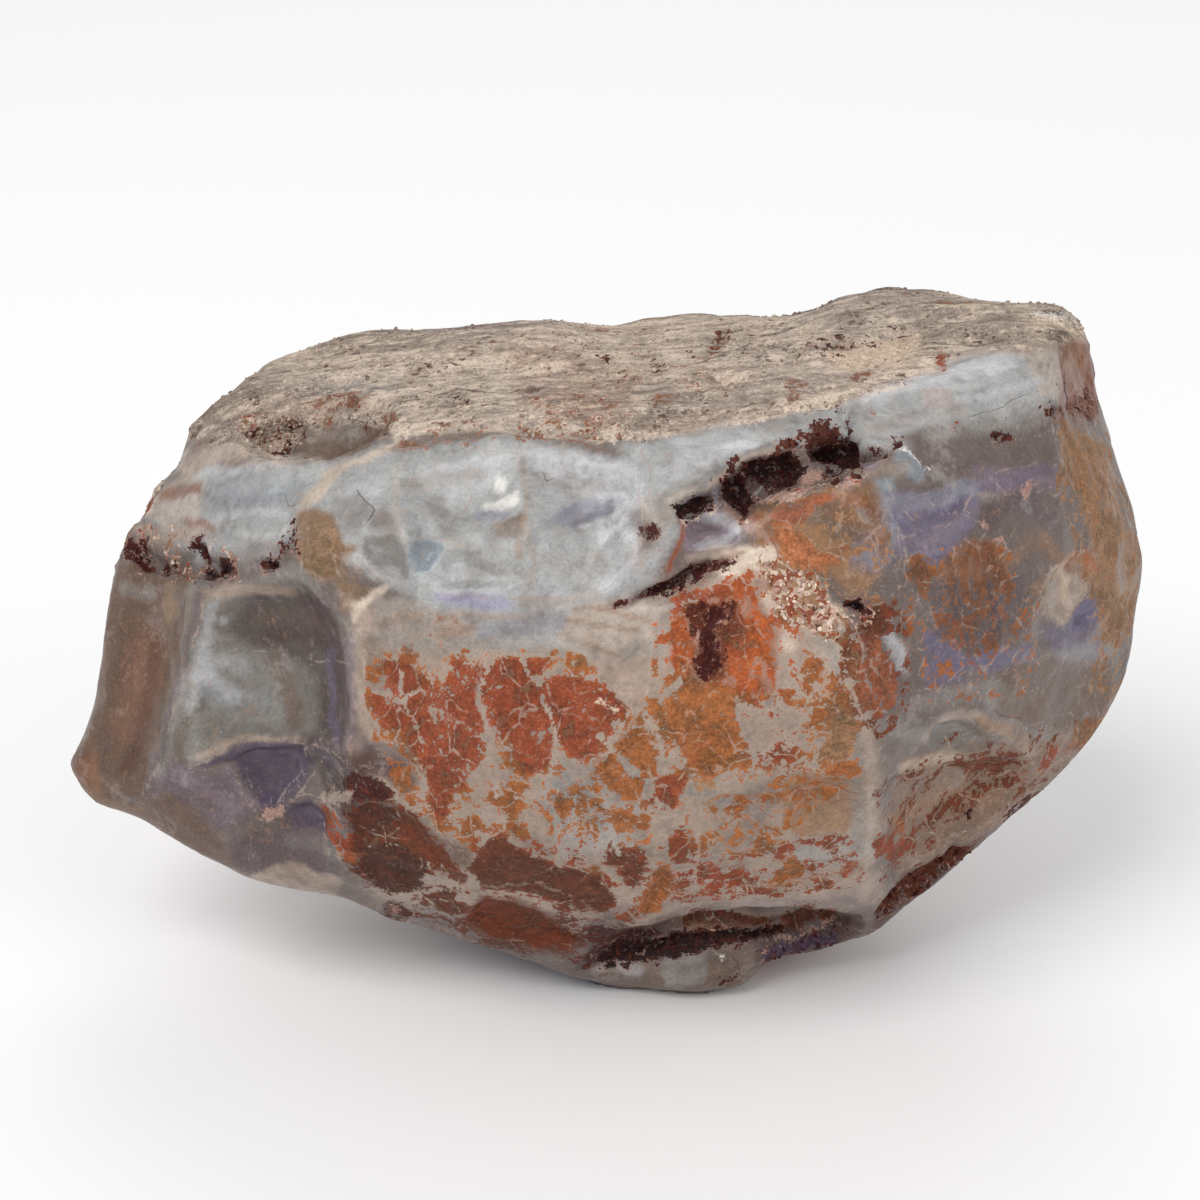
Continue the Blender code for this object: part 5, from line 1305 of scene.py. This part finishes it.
class Finish(Nodes):
    def __init__(self, name):
        self.material = bpy.data.materials.new(name)
        self.material.use_nodes = True
        super().__init__(self.material.node_tree)
        self.shader = self.tree.nodes["Principled BSDF"]
        self.place = self.node("ShaderNodeTexCoord", output="Object")

    def shaderTakes(self, **values):
        for name, value in values.items():
            self.feed(self.shader.inputs[name.replace("_", " ")], value)

    def kept(self, name, output="Fac"):
        return self.node("ShaderNodeAttribute", {"attribute_name": name}, output=output)

    def parts(self, vector):
        split = self.tree.nodes.new("ShaderNodeSeparateXYZ")
        self.tree.links.new(vector.socket, split.inputs[0])
        return [Wire(self, socket) for socket in split.outputs]

    def stretched(self, length, turn=0):  # the object's coordinates, drawn out along X
        values = {"Vector": self.place, "Scale": (length, 1, 1), "Rotation": (0, turn, 0)}
        return self.node("ShaderNodeMapping", {"vector_type": "TEXTURE"}, values)

    def noise(self, size, detail, roughness, place=None):  # mostly between -0.5 and 0.5
        values = {"Vector": place or self.place, "Scale": 1 / size, "Detail": detail, "Roughness": roughness}
        return (self.node("ShaderNodeTexNoise", None, values) - 0.5) * 3

    def cells(self, size, place, output="Distance", feature="F1"):
        values = {"Vector": place, "Scale": 1 / size}
        return self.node("ShaderNodeTexVoronoi", {"feature": feature}, values, output)

    def bent(self, reach, size):  # the object's coordinates, pushed about
        values = {"Vector": self.place, "Scale": 1 / size, "Detail": 1}
        push = self.node("ShaderNodeTexNoise", None, values, "Color")
        push = self.node("ShaderNodeVectorMath", {"operation": "SUBTRACT"}, {0: push, 1: (0.5, 0.5, 0.5)})
        push = self.node("ShaderNodeVectorMath", {"operation": "SCALE"}, {0: push, "Scale": reach * 3})
        return self.node("ShaderNodeVectorMath", {"operation": "ADD"}, {0: self.place, 1: push})

    def blend(self, share, under, over, mode="MIX"):
        settings = {"data_type": "RGBA", "blend_type": mode}
        return self.node("ShaderNodeMix", settings, {0: share, 6: under, 7: over}, 2)

    def paint(self, pigment):
        return (*colourOf(pigment), 1)

    def shade(self, hue, amount):  # lighter where amount is above 0, darker below
        grey = self.node("ShaderNodeCombineColor", None, {0: amount + 1, 1: amount + 1, 2: amount + 1})
        return self.blend(1.0, hue, grey, "MULTIPLY")


# Sizes of what varies over the skin.
surface = {
    "wisps": 3 * mm,
    "coarse": 1.8 * mm,
    "net": 1.7 * mm,
    "beds": 0.8 * mm,
    "bedLength": 3.5,  # how much longer than high the beds are
    "bedTurn": -0.07,
    "fine": 0.5 * mm,
    "crumbs": 0.26 * mm,
    "speck": 0.16 * mm,
    "bend": (0.28 * mm, 1.3 * mm),  # how far the net, wisps and crumbs are pushed about, and over what length
    "bumps": 0.42 * mm,
    "bumpHeight": 0.16 * mm,
}


def stoneFinish():
    finish = Finish("weatheredOpal")
    stain, dark, chip = finish.parts(finish.kept("markFields", "Vector"))
    crustEdge = finish.kept("crust")
    coarse = finish.noise(surface["coarse"], 2, 0.64)
    fine = finish.noise(surface["fine"], 2, 0.66)
    speck = finish.noise(surface["speck"], 1, 0.6)
    bent = finish.bent(*surface["bend"])
    wisps = finish.noise(surface["wisps"], 3, 0.7, bent)
    bedding = finish.stretched(surface["bedLength"], surface["bedTurn"])
    laminated = finish.noise(surface["beds"], 3, 0.72, bedding)
    grainPick, grainTone, grainRest = finish.parts(finish.cells(surface["crumbs"], bent, "Color"))
    net = finish.cells(surface["net"], bent, feature="DISTANCE_TO_EDGE")

    def painted(share, pigment, under):
        return finish.blend(share, under, finish.paint(pigment))

    # the opal
    clouds = wisps * 0.22 + coarse * 0.16 + fine * 0.18 + speck * 0.2
    hue = finish.shade(finish.kept("ground", "Color"), clouds)
    hue = painted((wisps + fine * 0.4 + speck * 0.25).step(0.1, 0.8) * 0.2, "pearl", hue)
    hue = painted((speck * 0.3 - wisps - fine * 0.4).step(0.1, 0.8) * 0.45, "smoke", hue)
    hue = painted((fine - coarse * 0.6 + speck * 0.5).step(0.3, 0.9) * 0.35, "tan", hue)

    # the crust, in thin beds with painted shadow under its ledges, and pits
    bed = finish.shade(finish.kept("ground", "Color"), laminated * 0.5 + fine * 0.35 + speck * 0.35)
    bed = painted((laminated + fine * 0.5 + speck * 0.3).step(0, 0.6) * 0.6, "cream", bed)
    bed = painted((speck * 0.4 - laminated - coarse * 0.4).step(0.2, 0.9) * 0.6, "olive", bed)
    bed = painted((coarse - laminated * 0.7 + fine * 0.5).step(0.4, 0.9) * 0.55, "clay", bed)
    ledge = (1 - abs(laminated + fine * 0.12).step(0.01, 0.09)) * (coarse + wisps).step(0.05, 0.6)
    bed = painted(ledge * 0.7, "shadow", bed)
    pit = (grainPick + coarse * 0.25 + fine * 0.15).step(0.9, 1.0) * (speck + 0.5).step(0.2, 0.5)
    bed = painted(pit * 0.8, "umber", bed)
    crust = (crustEdge + fine * 4 + coarse * 5).step(-4, 3)
    hue = finish.blend(crust, hue, bed)

    # the pale net that breaks up both the ground and the stain
    worn = (net * -22 + fine * 1.2 + 0.7).step(0, 0.7) * (coarse + fine * 0.5).step(-0.4, 0.3)
    thread = 1 - abs(fine - speck * 0.4 + 0.05).step(0.03, 0.16)
    worn = worn.most(thread * (speck * 0.8 - coarse * 0.6).step(0, 0.7) * 0.6)
    hue = painted(worn * (1 - crust) * stain.step(-13, -4) * 0.45, "beige", hue)

    # the stain
    stained = (stain + coarse * 8 + fine * 6 + speck * 4).step(-0.9, 1.1)
    stainHue = finish.shade(finish.kept("stainHue", "Color"), fine * 0.55 + speck * 0.4 - coarse * 0.5)
    stainHue = painted((wisps * 0.6 + fine - speck * 0.5).step(0.2, 0.8) * 0.5, "rust", stainHue)
    stainHue = painted((coarse * 0.8 - fine + speck * 0.5).step(0.25, 0.9) * 0.4, "honey", stainHue)
    stainHue = painted((0 - coarse - fine * 0.6).step(0.25, 0.9) * 0.4, "russet", stainHue)
    thinned = worn * (0.6 - stain.step(4.5, 7.5) * 0.5)
    hue = finish.blend(stained * (1 - thinned) * 0.97, hue, stainHue)

    # chips and crumbly ground
    chipped = (chip + fine * 4 + speck * 3).step(-1.5, 2.5)
    chipHue = finish.shade(finish.kept("chipHue", "Color"), fine * 0.3 + speck * 0.3)
    hue = finish.blend(chipped * 0.75, hue, chipHue)
    crumbled = (finish.kept("crumbly") + fine * 6 + coarse * 5 + speck * 4).step(-1.5, 1.5)
    crumb = finish.blend(grainTone, finish.paint("cream"), finish.paint("rose"))
    crumb = painted((grainPick + fine * 0.3).step(0.5, 0.7), "tan", crumb)
    crumb = painted((grainRest + speck * 0.3).step(0.72, 0.86), "rust", crumb)
    crumb = painted((fine - speck * 0.8).step(0.45, 0.8), "maroon", finish.shade(crumb, speck * 0.4))
    hue = finish.blend(crumbled * 0.9, hue, crumb)

    def lineOf(name, stray):
        across, away, visible = finish.parts(finish.kept(name, "Vector"))
        line = 1 - abs(across + fine * stray).step(0.3, 1.1)
        return line * (1 - away.step(4.5, 6.5)) * visible.step(0.4, 0.7)

    paleLine = lineOf("paleLine", 1.1) * (coarse + fine * 0.8 + speck * 0.4).step(-0.4, 0.6)
    hue = painted(paleLine * 0.6, "vein", hue)
    rustLine = lineOf("rustLine", 0.9) * (coarse + fine).step(-0.9, 0.2)
    hue = painted(rustLine * 0.6, "rust", hue)
    hue = painted(lineOf("darkLine", 0.6) * 0.55, "umber", hue)

    # the dark hollows and the painted shadow in the undercut, with browner crumbs towards their edges and
    # rosy ground round them
    darkened = (dark + coarse * 4 + fine * 9 + speck * 4).step(-0.3, 1.3)
    core = (dark + fine * 3 + coarse * 3).step(1.5, 4.5)
    darkHue = finish.shade(finish.kept("darkHue", "Color"), fine * 0.6 + speck * 0.7)
    darkHue = painted((coarse * 0.8 + fine * 0.8).step(0.1, 0.6) * 0.6, "maroon", darkHue)
    edge = 1 - core * 0.6
    darkHue = painted((grainPick + fine * 0.4).step(0.4, 0.7) * edge * 0.8, "maroon", darkHue)
    brown = (grainTone + speck * 0.3 + fine * 0.4).step(0.8, 0.92)
    darkHue = painted(brown * edge * 0.8, "chestnut", darkHue)
    pale = (grainRest + speck * 0.3 - fine * 0.3).step(0.84, 0.96)
    darkHue = painted(pale * (1.1 - core) * 0.8, "rose", darkHue)
    rosy = (dark + coarse * 5 + fine * 4).step(-6, 0) * (speck + coarse).step(-0.3, 0.5)
    hue = painted(rosy * 0.35, "rose", hue)
    hue = finish.blend(darkened * 0.97, hue, darkHue)

    # gloss and fine bumps
    matt = (crust * 0.95).most(darkened * 0.9).most(stained * 0.7).most(crumbled * 0.9)
    roughest = (crustEdge * 0.2).least(1).most((stain * 0.08).least(0.35)).most(0.12)
    height = finish.noise(surface["bumps"], 2, 0.8, finish.stretched(1.6)) * roughest
    values = {"Height": height, "Strength": 1.0, "Distance": surface["bumpHeight"]}
    bump = finish.node("ShaderNodeBump", None, values)
    finish.shaderTakes(Base_Color=hue, Roughness=matt * 0.4 + 0.4 + fine * 0.08, Normal=bump,
                       Coat_Weight=(1 - matt).most(0) * 0.35, Coat_Roughness=0.16,
                       Specular_IOR_Level=0.12)
    return finish.material


# Loose grains on the crust and crumbs in the hollows

grainShape = {"density": 9e6, "smallest": 0.06 * mm, "largest": 0.2 * mm, "seed": 5}
grainSpeck = 0.12 * mm


def grainTree(sizes):
    tree = bpy.data.node_groups.new("scatterGrains", "GeometryNodeTree")
    tree.is_modifier = True
    kinds = {"skin": "Geometry", "density": "Float", "smallest": "Float", "largest": "Float", "seed": "Int",
             "finish": "Material"}
    keys = {}
    for name, kind in kinds.items():
        socket = tree.interface.new_socket(name, in_out="INPUT", socket_type="NodeSocket" + kind)
        keys[name] = socket.identifier
    tree.interface.new_socket("grains", in_out="OUTPUT", socket_type="NodeSocketGeometry")
    nodes = Nodes(tree)
    ports = tree.nodes.new("NodeGroupInput").outputs
    given = {name: Wire(nodes, ports[name]) for name in kinds}
    share = nodes.node("GeometryNodeInputNamedAttribute", {"data_type": "FLOAT"}, {"Name": "grainShare"})
    spots = nodes.node("GeometryNodeDistributePointsOnFaces", None,
                       {"Mesh": given["skin"], "Density": given["density"] * share, "Seed": given["seed"]})

    def pick(kind, low, high, seed):  # a random value for each grain
        first, output = (0, 0) if kind == "FLOAT_VECTOR" else (2, 1)
        values = {first: low, first + 1: high, 8: given["seed"] + seed}
        return nodes.node("FunctionNodeRandomValue", {"data_type": kind}, values, output)

    grain = nodes.node("GeometryNodeMeshIcoSphere", None, {"Radius": 1.0, "Subdivisions": 1})
    turn = pick("FLOAT_VECTOR", (0, 0, 0), (6.3, 6.3, 6.3), 1)
    shape = pick("FLOAT_VECTOR", (0.6, 0.6, 0.45), (1.4, 1, 0.8), 2)
    reach = pick("FLOAT", 0.0, 1.0, 3)
    size = given["smallest"] + (given["largest"] - given["smallest"]) * reach * reach * reach
    scale = nodes.node("ShaderNodeVectorMath", {"operation": "SCALE"}, {0: shape, "Scale": size})
    made = nodes.node("GeometryNodeInstanceOnPoints", None,
                      {"Points": spots, "Instance": grain, "Rotation": turn, "Scale": scale})
    made = nodes.node("GeometryNodeStoreNamedAttribute", {"data_type": "FLOAT", "domain": "INSTANCE"},
                      {"Geometry": made, "Name": "tone", "Value": pick("FLOAT", 0.0, 1.0, 4)})
    made = nodes.node("GeometryNodeRealizeInstances", None, {"Geometry": made})
    made = nodes.node("GeometryNodeSetMaterial", None, {"Geometry": made, "Material": given["finish"]})
    tree.links.new(made.socket, tree.nodes.new("NodeGroupOutput").inputs[0])
    return tree, {keys[name]: value for name, value in sizes.items()}


def grainFinish():
    finish = Finish("looseGrain")
    tone = finish.kept("tone")
    speck = finish.noise(grainSpeck, 1, 0.6)
    hue = finish.shade(finish.kept("grainHue", "Color"), (tone - 0.5) * 0.5 + speck * 0.3)
    finish.shaderTakes(Base_Color=hue, Roughness=0.8, Specular_IOR_Level=0.15)
    return finish.material


grains = bpy.data.objects.new("crustGrains", mesh)
bpy.context.scene.collection.objects.link(grains)
tree, inputs = grainTree({**grainShape, "finish": grainFinish()})
scatter = grains.modifiers.new("scatter", "NODES")
scatter.node_group = tree
for key, value in inputs.items():
    scatter[key] = value
scattered = plainMesh(grains)
scattered.calc_loop_triangles()
print("grains:", len(scattered.loop_triangles), "triangles")

stone.data.materials.clear()
stone.data.materials.append(stoneFinish())
for piece in (stone, grains):
    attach(piece, "root")
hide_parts("opal")
print("stone finished")


# Studio

studio = {
    "floor": 1.6,  # half its width in metres
    "paper": 0.93,
    "world": 0.56,
    "target": (0, 0, 0.018),
    "film": 36,
    "lamps": {
        "key": {"place": (-0.28, -0.42, 0.62), "size": 0.5, "power": 3.3},
        "fill": {"place": (0.5, -0.45, 0.35), "size": 0.5, "power": 0.9},
        "rear": {"place": (0.1, 0.6, 0.6), "size": 0.6, "power": 1.4},
    },
}


def layFloor():
    half = studio["floor"]
    corners = [(-half, -half, 0), (half, -half, 0), (half, half, 0), (-half, half, 0)]
    floorMesh = bpy.data.meshes.new("floor")
    floorMesh.from_pydata(corners, [], [(0, 1, 2, 3)])
    floor = bpy.data.objects.new("floor", floorMesh)
    bpy.context.scene.collection.objects.link(floor)
    paper = Finish("paleFloor")
    paper.shaderTakes(Base_Color=(*[studio["paper"]] * 3, 1), Roughness=0.9, Specular_IOR_Level=0.1)
    floorMesh.materials.append(paper.material)


def hangLamps():
    for name, lamp in studio["lamps"].items():
        light = bpy.data.lights.new(name, "AREA")
        light.shape = "DISK"
        light.size = lamp["size"]
        light.energy = lamp["power"]
        holder = bpy.data.objects.new(name, light)
        holder.location = lamp["place"]
        aim = Vector(studio["target"]) - holder.location
        holder.rotation_euler = aim.to_track_quat("-Z", "Y").to_euler()
        bpy.context.scene.collection.objects.link(holder)
    world = bpy.data.worlds.new("studio")
    world.use_nodes = True
    sky = world.node_tree.nodes["Background"]
    sky.inputs["Color"].default_value = (1, 1, 1, 1)
    sky.inputs["Strength"].default_value = studio["world"]
    bpy.context.scene.world = world


def setCamera():
    camera = bpy.data.objects.new("camera", bpy.data.cameras.new("camera"))
    camera.data.sensor_width = studio["film"]
    camera.data.lens = studio["film"] * photoView["distance"] / (photoView["pixel"] * photoView["width"])
    camera.data.clip_start = 0.01
    camera.location = eye
    camera.rotation_euler = (math.radians(90) - photoView["down"], 0, 0)
    bpy.context.scene.collection.objects.link(camera)
    bpy.context.scene.camera = camera


layFloor()
hangLamps()
setCamera()
bpy.context.scene.view_settings.view_transform = "Standard"
print("studio:", len(studio["lamps"]), "lamps")
